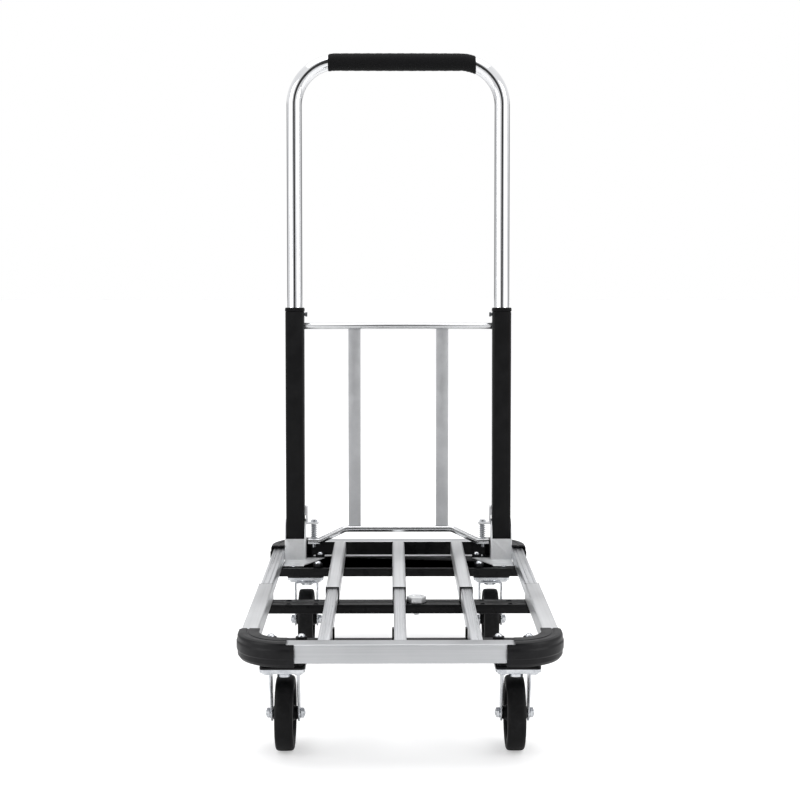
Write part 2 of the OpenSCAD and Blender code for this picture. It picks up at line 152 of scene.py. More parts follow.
@dataclass(frozen=True)
class Finish:
    """What every finish has: a name, two tones of its colour, and values that hold all over it."""

    name: str
    colour: str
    second: str
    roughness: float
    metallic: float = 0.0
    ior: float = 1.5
    specular: float = 0.5
    sheen: float = 0.0

    def material(self) -> bpy.types.Material:
        """Returns this finish's material, which is made the first time that it is asked for."""
        found = bpy.data.materials.get(self.name)
        if found is not None:
            return found
        made = bpy.data.materials.new(self.name)
        made.use_nodes = True
        tree = made.node_tree
        tree.nodes.clear()
        shader = add_node(tree, "ShaderNodeBsdfPrincipled", {}, {
            "Base Color": linear(self.colour), "Metallic": self.metallic,
            "Roughness": self.roughness, "Specular IOR Level": self.specular})
        if self.metallic < 0.5:
            shader.inputs["IOR"].default_value = self.ior
        if self.sheen > 0:
            shader.inputs["Sheen Weight"].default_value = self.sheen
            shader.inputs["Sheen Roughness"].default_value = 0.6
        place = add_node(tree, "ShaderNodeTexCoord").outputs["Object"]
        self.pattern(tree, shader, place)
        add_node(tree, "ShaderNodeOutputMaterial", {}, {"Surface": shader.outputs["BSDF"]})
        made.diffuse_color = linear(self.colour)
        return made

    def pattern(self, tree: bpy.types.NodeTree, shader: bpy.types.Node,
                place: bpy.types.NodeSocket) -> None:
        """Draws the finish's own pattern; each kind of finish has one.

        Args:
            tree: the material's tree
            shader: its surface shader
            place: where a point is on the object, in metres
        """
        raise NotImplementedError

    def tone(self, tree: bpy.types.NodeTree, shader: bpy.types.Node,
             amount: bpy.types.NodeSocket, low: float, high: float) -> None:
        """Lets one pattern move the colour between its two tones and the roughness with it.

        Args:
            tree: the material's tree
            shader: its surface shader
            amount: the pattern, from 0 to 1
            low: roughness where the pattern is 0
            high: roughness where the pattern is 1
        """
        mixed = add_node(tree, "ShaderNodeMix", {"data_type": "RGBA"}, {
            0: amount, 6: linear(self.colour), 7: linear(self.second)})
        tree.links.new(mixed.outputs[2], shader.inputs["Base Color"])
        rough = add_node(tree, "ShaderNodeMapRange", {}, {
            "Value": amount, "To Min": low, "To Max": high})
        tree.links.new(rough.outputs["Result"], shader.inputs["Roughness"])


@dataclass(frozen=True)
class DrawnMetal(Finish):
    """Metal drawn or extruded through a die: fine straight lines run along the part."""

    axis: Axis = Axis.Y
    line_mm: float = 2.2
    run_mm: float = 260.0
    cloud_mm: float = 45.0
    depth_mm: float = 0.03

    def pattern(self, tree: bpy.types.NodeTree, shader: bpy.types.Node,
                place: bpy.types.NodeSocket) -> None:
        """Stretches one noise along the drawing direction and adds slow clouding under it.

        Args:
            tree: the material's tree
            shader: its surface shader
            place: where a point is on the object, in metres
        """
        scale = [1 / (self.line_mm * MM)] * 3
        scale[self.axis.value] = 1 / (self.run_mm * MM)
        drawn = add_node(tree, "ShaderNodeMapping", {}, {"Vector": place, "Scale": scale})
        lines = add_node(tree, "ShaderNodeTexNoise", {}, {
            "Vector": drawn.outputs["Vector"], "Scale": 1.0, "Detail": 3.0, "Roughness": 0.65})
        clouds = add_node(tree, "ShaderNodeTexNoise", {}, {
            "Vector": place, "Scale": 1 / (self.cloud_mm * MM), "Detail": 2.0})
        both = add_node(tree, "ShaderNodeMath", {"operation": "MULTIPLY_ADD", "use_clamp": True}, {
            0: clouds.outputs["Fac"], 1: 0.35, 2: lines.outputs["Fac"]})
        spread = add_node(tree, "ShaderNodeMapRange", {}, {
            "Value": both.outputs["Value"], "From Min": 0.45, "From Max": 0.9})
        self.tone(tree, shader, spread.outputs["Result"],
                  self.roughness - 0.05, self.roughness + 0.08)
        bump = add_node(tree, "ShaderNodeBump", {}, {
            "Height": lines.outputs["Fac"], "Strength": 0.35, "Distance": self.depth_mm * MM})
        tree.links.new(bump.outputs["Normal"], shader.inputs["Normal"])


@dataclass(frozen=True)
class PlatedMetal(Finish):
    """Steel with a bright electroplated coat: cloudy patches, fine pits and a few wipe marks."""

    patch_mm: float = 9.0
    grit_mm: float = 1.6
    depth_mm: float = 0.02

    def pattern(self, tree: bpy.types.NodeTree, shader: bpy.types.Node,
                place: bpy.types.NodeSocket) -> None:
        """Clouds the tone and roughness in patches, and roughens the coat with fine grit.

        Args:
            tree: the material's tree
            shader: its surface shader
            place: where a point is on the object, in metres
        """
        clouds = add_node(tree, "ShaderNodeTexNoise", {}, {
            "Vector": place, "Scale": 1 / (self.patch_mm * MM), "Detail": 4.0, "Roughness": 0.6})
        grit = add_node(tree, "ShaderNodeTexNoise", {}, {
            "Vector": place, "Scale": 1 / (self.grit_mm * MM), "Detail": 2.0})
        spread = add_node(tree, "ShaderNodeMapRange", {}, {
            "Value": clouds.outputs["Fac"], "From Min": 0.35, "From Max": 0.65})
        self.tone(tree, shader, spread.outputs["Result"],
                  max(self.roughness - 0.05, 0.03), self.roughness + 0.09)
        bump = add_node(tree, "ShaderNodeBump", {}, {
            "Height": grit.outputs["Fac"], "Strength": 0.25, "Distance": self.depth_mm * MM})
        tree.links.new(bump.outputs["Normal"], shader.inputs["Normal"])


@dataclass(frozen=True)
class CoatedMetal(Finish):
    """Baked powder or enamel on steel: a fine orange peel, and a painted top light that pales upper
    faces.
    """

    peel_mm: float = 2.4
    cloud_mm: float = 22.0
    depth_mm: float = 0.05
    painted_top_light: float = 0.35

    def pattern(self, tree: bpy.types.NodeTree, shader: bpy.types.Node,
                place: bpy.types.NodeSocket) -> None:
        """Bumps the coat with its peel and pales faces that look up, a painted top light.

        Args:
            tree: the material's tree
            shader: its surface shader
            place: where a point is on the object, in metres
        """
        peel = add_node(tree, "ShaderNodeTexNoise", {}, {
            "Vector": place, "Scale": 1 / (self.peel_mm * MM), "Detail": 3.0, "Roughness": 0.55})
        clouds = add_node(tree, "ShaderNodeTexNoise", {}, {
            "Vector": place, "Scale": 1 / (self.cloud_mm * MM), "Detail": 5.0, "Roughness": 0.6})
        # Painted top light: faces that look up are mixed towards the paler tone.
        facing = add_node(tree, "ShaderNodeSeparateXYZ", {}, {
            "Vector": add_node(tree, "ShaderNodeNewGeometry").outputs["Normal"]})
        top_light_mask = add_node(tree, "ShaderNodeMapRange", {}, {
            "Value": facing.outputs["Z"], "From Min": 0.6, "From Max": 1.0, "To Max": self.painted_top_light})
        patchy = add_node(tree, "ShaderNodeMapRange", {}, {
            "Value": clouds.outputs["Fac"], "From Min": 0.4, "From Max": 0.7, "To Max": 0.8})
        amount = add_node(tree, "ShaderNodeMath", {"operation": "ADD", "use_clamp": True}, {
            0: top_light_mask.outputs["Result"], 1: patchy.outputs["Result"]})
        self.tone(tree, shader, amount.outputs["Value"], self.roughness - 0.03,
                  self.roughness + 0.1)
        bump = add_node(tree, "ShaderNodeBump", {}, {
            "Height": peel.outputs["Fac"], "Strength": 0.5, "Distance": self.depth_mm * MM})
        tree.links.new(bump.outputs["Normal"], shader.inputs["Normal"])


@dataclass(frozen=True)
class MouldedPlastic(Finish):
    """Injection-moulded plastic: a spark-eroded grain from the mould and paler scuffs."""

    grain_mm: float = 1.7
    scuff_mm: float = 14.0
    depth_mm: float = 0.06

    def pattern(self, tree: bpy.types.NodeTree, shader: bpy.types.Node,
                place: bpy.types.NodeSocket) -> None:
        """Pebbles the face with small cells and lets a thin scatter of scuffs pale it.

        Args:
            tree: the material's tree
            shader: its surface shader
            place: where a point is on the object, in metres
        """
        cells = add_node(tree, "ShaderNodeTexVoronoi", {"feature": "SMOOTH_F1"}, {
            "Vector": place, "Scale": 1 / (self.grain_mm * MM), "Smoothness": 0.8})
        flow = add_node(tree, "ShaderNodeTexNoise", {}, {
            "Vector": place, "Scale": 1 / (self.scuff_mm * MM), "Detail": 6.0, "Roughness": 0.7,
            "Distortion": 0.6})
        scuffs = add_node(tree, "ShaderNodeMapRange", {}, {
            "Value": flow.outputs["Fac"], "From Min": 0.48, "From Max": 0.72})
        self.tone(tree, shader, scuffs.outputs["Result"], self.roughness, self.roughness + 0.12)
        bump = add_node(tree, "ShaderNodeBump", {}, {
            "Height": cells.outputs["Distance"], "Strength": 0.45,
            "Distance": self.depth_mm * MM})
        tree.links.new(bump.outputs["Normal"], shader.inputs["Normal"])


@dataclass(frozen=True)
class OpenFoam(Finish):
    """Soft closed-cell foam: a skin of small pores that swallows highlights."""

    pore_mm: float = 1.5
    cloud_mm: float = 6.0
    depth_mm: float = 0.35

    def pattern(self, tree: bpy.types.NodeTree, shader: bpy.types.Node,
                place: bpy.types.NodeSocket) -> None:
        """Sinks the pores and pales the walls between them.

        Args:
            tree: the material's tree
            shader: its surface shader
            place: where a point is on the object, in metres
        """
        pores = add_node(tree, "ShaderNodeTexVoronoi", {"feature": "F1"}, {
            "Vector": place, "Scale": 1 / (self.pore_mm * MM)})
        soft = add_node(tree, "ShaderNodeTexNoise", {}, {
            "Vector": place, "Scale": 1 / (self.cloud_mm * MM), "Detail": 4.0})
        mixed = add_node(tree, "ShaderNodeMath", {"operation": "MULTIPLY", "use_clamp": True}, {
            0: pores.outputs["Distance"], 1: soft.outputs["Fac"]})
        self.tone(tree, shader, mixed.outputs["Value"], self.roughness, self.roughness + 0.08)
        bump = add_node(tree, "ShaderNodeBump", {}, {
            "Height": pores.outputs["Distance"], "Strength": 0.6,
            "Distance": self.depth_mm * MM})
        tree.links.new(bump.outputs["Normal"], shader.inputs["Normal"])


# Anodised 6063 aluminium, extruded: silvery satin with fine lines along each bar, so a flat face
# reads as one soft grey and its edges stay bright. Lines are drawn 2.2 mm apart, as real ones
# of about 0.2 mm are too fine to show.
ALUMINIUM_ALONG = DrawnMetal("Anodised_extruded_aluminium", "#D6D7D8", "#E3E4E5", 0.36, 1.0)
ALUMINIUM_ACROSS = DrawnMetal("Anodised_extruded_aluminium_crossbar", "#BBBDBF", "#CBCCCE", 0.38,
                              1.0, axis=Axis.X)
# Bare drawn aluminium inner tube, a little brighter where the sleeve has polished it.
ALUMINIUM_TUBE = DrawnMetal("Drawn_aluminium_inner_tube", "#D2D4D6", "#E4E5E7", 0.3, 1.0,
                            line_mm=1.8)
# Mild steel with bright zinc plate: mirror-like but cloudy, with pale blue-grey patches.
ZINC_BRIGHT = PlatedMetal("Bright_zinc_plated_steel", "#DCDEE1", "#C2C5CA", 0.2, 1.0)
# Pressed steel bracket with a dull zinc coat, rubbed satin: soft grey, no mirror image.
ZINC_SATIN = PlatedMetal("Satin_zinc_plated_bracket", "#E6E7E8", "#DADBDC", 0.4, 0.8,
                         patch_mm=14.0)
# Chromed steel tube, polished: a clear mirror with only faint wipe marks.
CHROME = PlatedMetal("Polished_chrome_plated_tube", "#F6F7F8", "#EDEEF0", 0.045, 1.0,
                     patch_mm=40.0, grit_mm=3.0, depth_mm=0.004)
# Steel strip in silver baked enamel: plain mid grey with a soft sheen.
SILVER_ENAMEL = CoatedMetal("Silver_baked_enamel_steel", "#B4B5B7", "#BFC0C2", 0.36, 0.45,
                            peel_mm=2.0, depth_mm=0.02, painted_top_light=0.1)
# Drawn steel rod with zinc plate: a bright line down its middle between darker edges.
ZINC_ROD = DrawnMetal("Zinc_plated_drawn_steel_rod", "#D3D4D6", "#E2E3E4", 0.24, 1.0, axis=Axis.X,
                      line_mm=1.5)
# Spring wire, drawn and zinc plated: bright turns with dark gaps.
SPRING_WIRE = DrawnMetal("Zinc_plated_spring_wire", "#8F9194", "#B4B6B9", 0.25, 1.0, axis=Axis.Z,
                         line_mm=1.0, run_mm=12.0)
# Pressed steel in smooth black powder coat: near black with a soft broad sheen on its folds.
BLACK_STEEL = CoatedMetal("Black_powder_coated_pressed_steel", "#0C0C0D", "#161617", 0.3,
                          ior=1.52, specular=0.12)
# Square tube in textured black powder coat: deeper black, grainy, with a dull highlight.
BLACK_UPRIGHT = CoatedMetal("Black_textured_powder_coated_tube", "#0D0D0E", "#141415", 0.46,
                            ior=1.52, specular=0.14, peel_mm=1.8, depth_mm=0.09, painted_top_light=0.15)
# Moulded polypropylene corner bumper: charcoal, grained, catching light on its top skin.
BUMPER_PLASTIC = MouldedPlastic("Moulded_charcoal_polypropylene", "#0F0F11", "#19191B", 0.36,
                                ior=1.49, specular=0.22)
# Moulded nylon collar and wheel centre: black with a tighter grain.
HUB_PLASTIC = MouldedPlastic("Moulded_black_nylon", "#0D0D0E", "#151517", 0.4, ior=1.53,
                             specular=0.12, grain_mm=1.4, depth_mm=0.03)
# Solid thermoplastic rubber tyre: matt black, paler where floor dust has rubbed in.
TYRE_RUBBER = MouldedPlastic("Solid_thermoplastic_rubber_tyre", "#0E0E0F", "#1A1A1B", 0.5,
                             ior=1.52, specular=0.14, grain_mm=2.0, scuff_mm=9.0)
# Closed-cell nitrile foam sleeve: black, dull and soft, with small pores.
GRIP_FOAM = OpenFoam("Closed_cell_nitrile_foam", "#0A0A0B", "#151516", 0.86, ior=1.5,
                     specular=0.12, sheen=0.03)
# Black oxide on steel nuts: dark with a faint metal glint.
BLACK_OXIDE = PlatedMetal("Black_oxide_steel_nut", "#1E1E20", "#2C2C2F", 0.35, 0.6,
                          patch_mm=4.0)
# Plain turned steel, darkened by handling: a small dull grey glint on the snap buttons.
PLAIN_STEEL = PlatedMetal("Turned_plain_steel", "#5C5E61", "#6E7073", 0.3, 1.0, patch_mm=5.0)


# ---------- meshes ----------

def settled(obj: bpy.types.Object) -> bpy.types.Mesh:
    """Turns an object with modifiers into a plain mesh and removes the object.

    Args:
        obj: an object whose modifiers are set
    Returns:
        the mesh that its modifiers gave
    """
    graph = bpy.context.evaluated_depsgraph_get()
    mesh = bpy.data.meshes.new_from_object(obj.evaluated_get(graph), depsgraph=graph)
    obj.modifiers.clear()
    bpy.data.objects.remove(obj)
    return mesh


def placed(name: str, mesh: bpy.types.Mesh) -> bpy.types.Object:
    """Puts a mesh in the scene as an object at the origin.

    Args:
        name: the object's name
        mesh: its mesh
    Returns:
        the object
    """
    obj = bpy.data.objects.new(name, mesh)
    bpy.context.scene.collection.objects.link(obj)
    return obj


def mesh_of(name: str, shape: bmesh.types.BMesh, outward: bool = True) -> bpy.types.Mesh:
    """Turns a working shape into a mesh and frees the shape.

    Args:
        name: the mesh's name
        shape: the working shape
        outward: True to merge its doubles and turn its faces outwards
    Returns:
        the mesh
    """
    if outward:
        bmesh.ops.remove_doubles(shape, verts=shape.verts, dist=1e-7)
        bmesh.ops.recalc_face_normals(shape, faces=shape.faces)
    mesh = bpy.data.meshes.new(name)
    shape.to_mesh(mesh)
    shape.free()
    return mesh


def joined(name: str, parts: Sequence[bpy.types.Mesh]) -> bpy.types.Mesh:
    """Puts several meshes into one.

    Args:
        name: the name of the result
        parts: the meshes, which are removed
    Returns:
        the one mesh
    """
    shape = bmesh.new()
    for part in parts:
        shape.from_mesh(part)
    for part in parts:
        bpy.data.meshes.remove(part)
    return mesh_of(name, shape, outward=False)


def edged(name: str, mesh: bpy.types.Mesh, width_mm: float, steps: int = 2,
          angle: float = 35.0) -> bpy.types.Mesh:
    """Rounds a mesh's sharp edges.

    Args:
        name: the name of the result
        mesh: the sharp mesh
        width_mm: how far the rounding reaches from each edge
        steps: how many faces round each edge
        angle: edges turned by less than this, in degrees, stay as they are
    Returns:
        the rounded mesh
    """
    obj = placed(name, mesh)
    bevel = obj.modifiers.new("Edges", "BEVEL")
    bevel.width = width_mm * MM
    bevel.segments = steps
    bevel.limit_method = "ANGLE"
    bevel.angle_limit = math.radians(angle)
    bevel.use_clamp_overlap = False
    bevel.miter_outer = "MITER_ARC"
    return settled(obj)


def turned(name: str, profile: Sequence[Pair], centre: Vector, axis: Axis, steps: int = 72,
           closed: bool = False) -> bpy.types.Mesh:
    """Turns a profile round an axis, as on a lathe.

    Args:
        name: the mesh's name
        profile: (distance along the axis, radius) points in millimetres
        centre: the point on the axis that distances are measured from
        axis: the axis's direction
        steps: how many faces go round
        closed: True if the profile's last point joins its first, as in a ring
    Returns:
        the turned mesh
    """
    along, side, up = axis.frame()
    shape = bmesh.new()
    rows = []
    for far, radius in profile:
        middle = centre + along * (far * MM)
        if radius < 1e-4:
            rows.append([shape.verts.new(middle)])
            continue
        angles = [2 * math.pi * k / steps for k in range(steps)]
        rows.append([shape.verts.new(
            middle + (side * math.cos(a) + up * math.sin(a)) * (radius * MM)) for a in angles])
    pairs = list(zip(rows, rows[1:])) + ([(rows[-1], rows[0])] if closed else [])
    for low, high in pairs:
        for k in range(steps):
            n = k + 1
            ring = [low[k % len(low)], low[n % len(low)], high[n % len(high)],
                    high[k % len(high)]]
            corners = list(dict.fromkeys(ring))
            if len(corners) > 2:
                shape.faces.new(corners)
    return mesh_of(name, shape)


def rounded_outline(corners: Sequence[Pair], radius: float, steps: int = 3) -> list[Pair]:
    """Rounds the corners of a closed outline.

    Args:
        corners: the outline's corners in order, in millimetres
        radius: how far each rounding starts from its corner, at most a third of a side
        steps: how many sides each rounding has
    Returns:
        the outline's new points
    """
    made = []
    for i, here in enumerate(corners):
        before, after = Vector(corners[i - 1]), Vector(corners[(i + 1) % len(corners)])
        corner = Vector(here)
        start = corner + (before - corner).normalized() * min(radius, (before - corner).length / 3)
        stop = corner + (after - corner).normalized() * min(radius, (after - corner).length / 3)
        for k in range(steps + 1):
            t = k / steps
            point = start * (1 - t) ** 2 + corner * (2 * t * (1 - t)) + stop * t ** 2
            made.append((point.x, point.y))
    return made


def islands(node: str) -> list[tuple[Vector, Vector]]:
    """Returns the box of each separate solid in a CAD node.

    Args:
        node: the node's name
    Returns:
        (lowest, highest) corners, sorted by place
    """
    shape = bmesh.new()
    shape.from_mesh(frame["nodes"][node].data)
    bmesh.ops.remove_doubles(shape, verts=shape.verts, dist=1e-6)
    shape.verts.ensure_lookup_table()
    seen: set[int] = set()
    boxes = []
    for start in shape.verts:
        if start.index in seen:
            continue
        found, queue = [], [start]
        seen.add(start.index)
        while queue:
            here = queue.pop()
            found.append(here.co.copy())
            for edge in here.link_edges:
                other = edge.other_vert(here)
                if other.index not in seen:
                    seen.add(other.index)
                    queue.append(other)
        boxes.append((Vector([min(p[i] for p in found) for i in range(3)]),
                      Vector([max(p[i] for p in found) for i in range(3)])))
    shape.free()
    return sorted(boxes, key=lambda b: tuple(round(v, 4) for v in b[0]))


def copied(node: str) -> bpy.types.Mesh:
    """Returns a clean copy of a CAD node's mesh, its loose triangles merged into flat faces.

    Args:
        node: the node's name
    Returns:
        the copy
    """
    shape = bmesh.new()
    shape.from_mesh(frame["nodes"][node].data)
    bmesh.ops.remove_doubles(shape, verts=shape.verts, dist=1e-6)
    bmesh.ops.dissolve_limit(shape, angle_limit=math.radians(0.6), verts=shape.verts,
                             edges=shape.edges)
    return mesh_of(f"{node}_clean", shape, outward=False)


@dataclass(frozen=True)
class Stretch:
    """A second body and two end points for a piece that spans two bodies; nothing here makes it
    close up or open out.
    """

    other: str
    start: Vector
    end: Vector


def hand_over(name: str, mesh: bpy.types.Mesh, finish: Finish, body: str,
              nodes: Sequence[str] = (), smooth: float = 32.0,
              stretch: Stretch | None = None) -> bpy.types.Object:
    """Puts a finished mesh in the scene, dresses it and, without a stretch, gives it to its body.

    Args:
        name: the piece's name
        mesh: its mesh, already in place
        finish: what it is made of
        body: the CAD body that it rides on
        nodes: the CAD nodes that it stands for
        smooth: edges turned by less than this, in degrees, are shaded smooth
        stretch: None to give the piece to its body; otherwise it rides on no body, and the stretch's
            ends go unused
    Returns:
        the piece
    """
    mesh.materials.clear()
    mesh.materials.append(finish.material())
    for face in mesh.polygons:
        face.material_index = 0
    mesh.shade_smooth()
    mesh.set_sharp_from_angle(angle=math.radians(smooth))
    obj = placed(name, mesh)
    if stretch is None:
        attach(obj, body)
    else:
        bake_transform(obj)
    if nodes:
        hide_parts(*nodes)
    LOG.info("%s: %d faces, rides on %s", name, len(mesh.polygons), body)
    return obj


def dress(finish: Finish, *nodes: str) -> None:
    """Gives CAD nodes whose shape is right their finish."""
    for node in nodes:
        for place in frame["nodes"][node].material_slots:
            place.material = finish.material()
        LOG.info("%s: CAD shape in %s", node, finish.name)


def rounded_node(node: str, finish: Finish, width_mm: float, steps: int = 2) -> None:
    """Stands a copy of a CAD node, with its sharp edges rounded, in the node's place.

    Args:
        node: the node's name
        finish: what it is made of
        width_mm: how far the rounding reaches from each edge
        steps: how many faces round each edge
    """
    body = frame["nodes"][node]["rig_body"]
    hand_over(f"{node}_rounded", edged(node, copied(node), width_mm, steps), finish, body,
              [node])


# ---------- geometry recipes ----------

class Recipe:
    """A geometry tree with named inputs, which turns a host mesh into one plain mesh."""

    def __init__(self, name: str, inputs: dict[str, str]) -> None:
        """Starts the tree.

        Args:
            name: the tree's name
            inputs: the kind of socket of each size, by the size's name
        """
        self.tree = bpy.data.node_groups.new(name, "GeometryNodeTree")
        face = self.tree.interface
        face.new_socket("Geometry", in_out="OUTPUT", socket_type="NodeSocketGeometry")
        face.new_socket("Geometry", in_out="INPUT", socket_type="NodeSocketGeometry")
        for key, kind in {**inputs, "Material": "NodeSocketMaterial"}.items():
            face.new_socket(key, in_out="INPUT", socket_type=kind)
        self.given = add_node(self.tree, "NodeGroupInput").outputs

    def close(self, geometry: bpy.types.NodeSocket) -> None:
        """Ends the tree: instances are made real and take the material.

        Args:
            geometry: the socket that gives the finished shape
        """
        real = add_node(self.tree, "GeometryNodeRealizeInstances", {}, {"Geometry": geometry})
        dressed = add_node(self.tree, "GeometryNodeSetMaterial", {}, {
            "Geometry": real.outputs["Geometry"], "Material": self.given["Material"]})
        add_node(self.tree, "NodeGroupOutput", {}, {"Geometry": dressed.outputs["Geometry"]})

    def grow(self, name: str, host: bpy.types.Mesh, sizes: dict, finish: Finish
             ) -> bpy.types.Mesh:
        """Runs the tree on a host mesh.

        Args:
            name: the name of the result
            host: the path or points that the tree works on
            sizes: the tree's inputs by name
            finish: the material that it sets
        Returns:
            the plain mesh
        """
        obj = placed(name, host)
        grown = obj.modifiers.new("Grow", "NODES")
        grown.node_group = self.tree
        values = {**sizes, "Material": finish.material()}
        for item in self.tree.interface.items_tree:
            if item.in_out == "INPUT" and item.name in values:
                grown[item.identifier] = values[item.name]
        return settled(obj)


def rod_recipe() -> Recipe:
    """Returns the recipe for a round bar bent along a path of straight runs."""
    made = Recipe("Bent_round_bar", {"Radius": "NodeSocketFloat", "Bend Radius": "NodeSocketFloat",
                                     "Bend Steps": "NodeSocketInt", "Sides": "NodeSocketInt"})
    run = add_node(made.tree, "GeometryNodeMeshToCurve", {}, {"Mesh": made.given["Geometry"]})
    bent = add_node(made.tree, "GeometryNodeFilletCurve", {"mode": "POLY"}, {
        "Curve": run.outputs["Curve"], "Count": made.given["Bend Steps"],
        "Radius": made.given["Bend Radius"]})
    section = add_node(made.tree, "GeometryNodeCurvePrimitiveCircle", {}, {
        "Resolution": made.given["Sides"], "Radius": made.given["Radius"]})
    bar = add_node(made.tree, "GeometryNodeCurveToMesh", {}, {
        "Curve": bent.outputs["Curve"], "Profile Curve": section.outputs["Curve"],
        "Fill Caps": True})
    made.close(bar.outputs["Mesh"])
    return made


def coil_recipe() -> Recipe:
    """Returns the recipe for a coil spring standing on each point of the host."""
    made = Recipe("Coil_spring", {"Turns": "NodeSocketFloat", "Coil Radius": "NodeSocketFloat",
                                  "Wire Radius": "NodeSocketFloat", "Length": "NodeSocketFloat",
                                  "Lean": "NodeSocketVector"})
    turn = add_node(made.tree, "GeometryNodeCurveSpiral", {}, {
        "Resolution": 36, "Rotations": made.given["Turns"],
        "Start Radius": made.given["Coil Radius"], "End Radius": made.given["Coil Radius"],
        "Height": made.given["Length"]})
    section = add_node(made.tree, "GeometryNodeCurvePrimitiveCircle", {}, {
        "Resolution": 10, "Radius": made.given["Wire Radius"]})
    wire = add_node(made.tree, "GeometryNodeCurveToMesh", {}, {
        "Curve": turn.outputs["Curve"], "Profile Curve": section.outputs["Curve"],
        "Fill Caps": True})
    stood = add_node(made.tree, "GeometryNodeInstanceOnPoints", {}, {
        "Points": made.given["Geometry"], "Instance": wire.outputs["Mesh"],
        "Rotation": made.given["Lean"]})
    made.close(stood.outputs["Instances"])
    return made


def copies_recipe() -> Recipe:
    """Returns the recipe that puts a copy on each point, turned by the point's own angles."""
    made = Recipe("Repeated_part", {"Part": "NodeSocketObject"})
    part = add_node(made.tree, "GeometryNodeObjectInfo", {}, {"Object": made.given["Part"]})
    turn = add_node(made.tree, "GeometryNodeInputNamedAttribute",
                    {"data_type": "FLOAT_VECTOR"}, {"Name": "turn"})
    stood = add_node(made.tree, "GeometryNodeInstanceOnPoints", {}, {
        "Points": made.given["Geometry"], "Instance": part.outputs["Geometry"],
        "Rotation": turn.outputs["Attribute"]})
    made.close(stood.outputs["Instances"])
    return made


RODS = rod_recipe()
COILS = coil_recipe()
COPIES = copies_recipe()


def path_mesh(name: str, points: Sequence[Vector]) -> bpy.types.Mesh:
    """Returns a mesh of one open line through the points, for a recipe to follow.

    Args:
        name: the mesh's name
        points: the line's points in order
    Returns:
        the mesh
    """
    mesh = bpy.data.meshes.new(name)
    mesh.from_pydata([tuple(p) for p in points], [(i, i + 1) for i in range(len(points) - 1)], [])
    return mesh


def repeated(name: str, part: bpy.types.Mesh, spots: Sequence[Vector],
             turns: Sequence[Vector] | None, finish: Finish) -> bpy.types.Mesh:
    """Puts a part at each spot.

    Args:
        name: the name of the result
        part: the part, modelled at the origin
        spots: where the copies go
        turns: each copy's turn in radians, or None to leave them all unturned
        finish: what they are made of
    Returns:
        one mesh of all the copies
    """
    host = bpy.data.meshes.new(f"{name}_spots")
    host.from_pydata([tuple(p) for p in spots], [], [])
    angles = host.attributes.new("turn", "FLOAT_VECTOR", "POINT")
    for i, value in enumerate(turns or [Vector()] * len(spots)):
        angles.data[i].vector = value
    sample = placed(f"{name}_part", part)
    mesh = COPIES.grow(name, host, {"Part": sample}, finish)
    bpy.data.objects.remove(sample)
    if "turn" in mesh.attributes:
        mesh.attributes.remove(mesh.attributes["turn"])
    return mesh


# ---------- sub-assemblies ----------

@dataclass
class HardwareSizes:
    """Plate bolts, their nuts and the axle nuts."""

    nut_radius: float = 7.6
    nut_height: float = 6.0
    dome_radius: float = 5.0
    dome_height: float = 3.8
    flush_radius: float = 4.6
    flush_height: float = 1.2
    match: float = 4.0
    head_radius: float = 5.8
    head_height: float = 4.0

    def hexagon(self, name: str, radius: float, height: float,
                crown: float = 0.0) -> bpy.types.Mesh:
        """Builds a chamfered hexagon standing on the origin.

        Args:
            name: the mesh's name
            radius: from its centre to a corner
            height: its height
            crown: how far a dome rises on its top, or 0 for none
        Returns:
            the mesh
        """
        shape = bmesh.new()
        cut = min(0.12 * radius, 0.9)
        levels = [(0.0, radius - cut), (cut * 0.6, radius), (height - cut * 0.6, radius),
                  (height, radius - cut)]
        rings = []
        for z, r in levels:
            rings.append([shape.verts.new(Vector((math.cos(math.radians(60 * k)) * r,
                                                  math.sin(math.radians(60 * k)) * r, z)) * MM)
                          for k in range(6)])
        round_part = [(height, radius * 0.8), (height - 0.25, radius * 0.76)]
        if crown > 0:
            round_part = [(height, radius * 0.82)]
            round_part += [(height + crown * math.sin(math.radians(a)),
                            radius * 0.82 * math.cos(math.radians(a))) for a in (15, 35, 55, 75)]
        steps = 24
        for z, r in round_part:
            rings.append([shape.verts.new(Vector((math.cos(2 * math.pi * k / steps) * r,
                                                  math.sin(2 * math.pi * k / steps) * r, z)) * MM)
                          for k in range(steps)])
        for low, high in zip(rings, rings[1:]):
            if len(low) == len(high):
                for k in range(len(low)):
                    n = (k + 1) % len(low)
                    shape.faces.new([low[k], low[n], high[n], high[k]])
                continue
            share = len(high) // len(low)
            for k in range(len(low)):
                n = (k + 1) % len(low)
                arc = [high[(k * share + j) % len(high)] for j in range(share + 1)]
                shape.faces.new([low[k], low[n], *reversed(arc)])
        shape.faces.new(list(reversed(rings[0])))
        shape.faces.new(rings[-1])
        return mesh_of(name, shape)

    def dome(self, name: str) -> bpy.types.Mesh:
        """Builds the domed end of a plate bolt, standing on the origin."""
        steps = [(self.dome_height * math.sin(math.radians(a)),
                  self.dome_radius * math.cos(math.radians(a))) for a in range(0, 90, 10)]
        return turned(name, [(0, 0), *steps, (self.dome_height, 0)], Vector(), Axis.Z, 28)

    def disc(self, name: str) -> bpy.types.Mesh:
        """Builds the low end of a bolt that is set flush, standing on the origin."""
        r, h = self.flush_radius, self.flush_height
        return turned(name, [(0, 0), (0, r), (h - 0.4, r), (h, r - 0.4), (h, 0)], Vector(),
                      Axis.Z, 28)


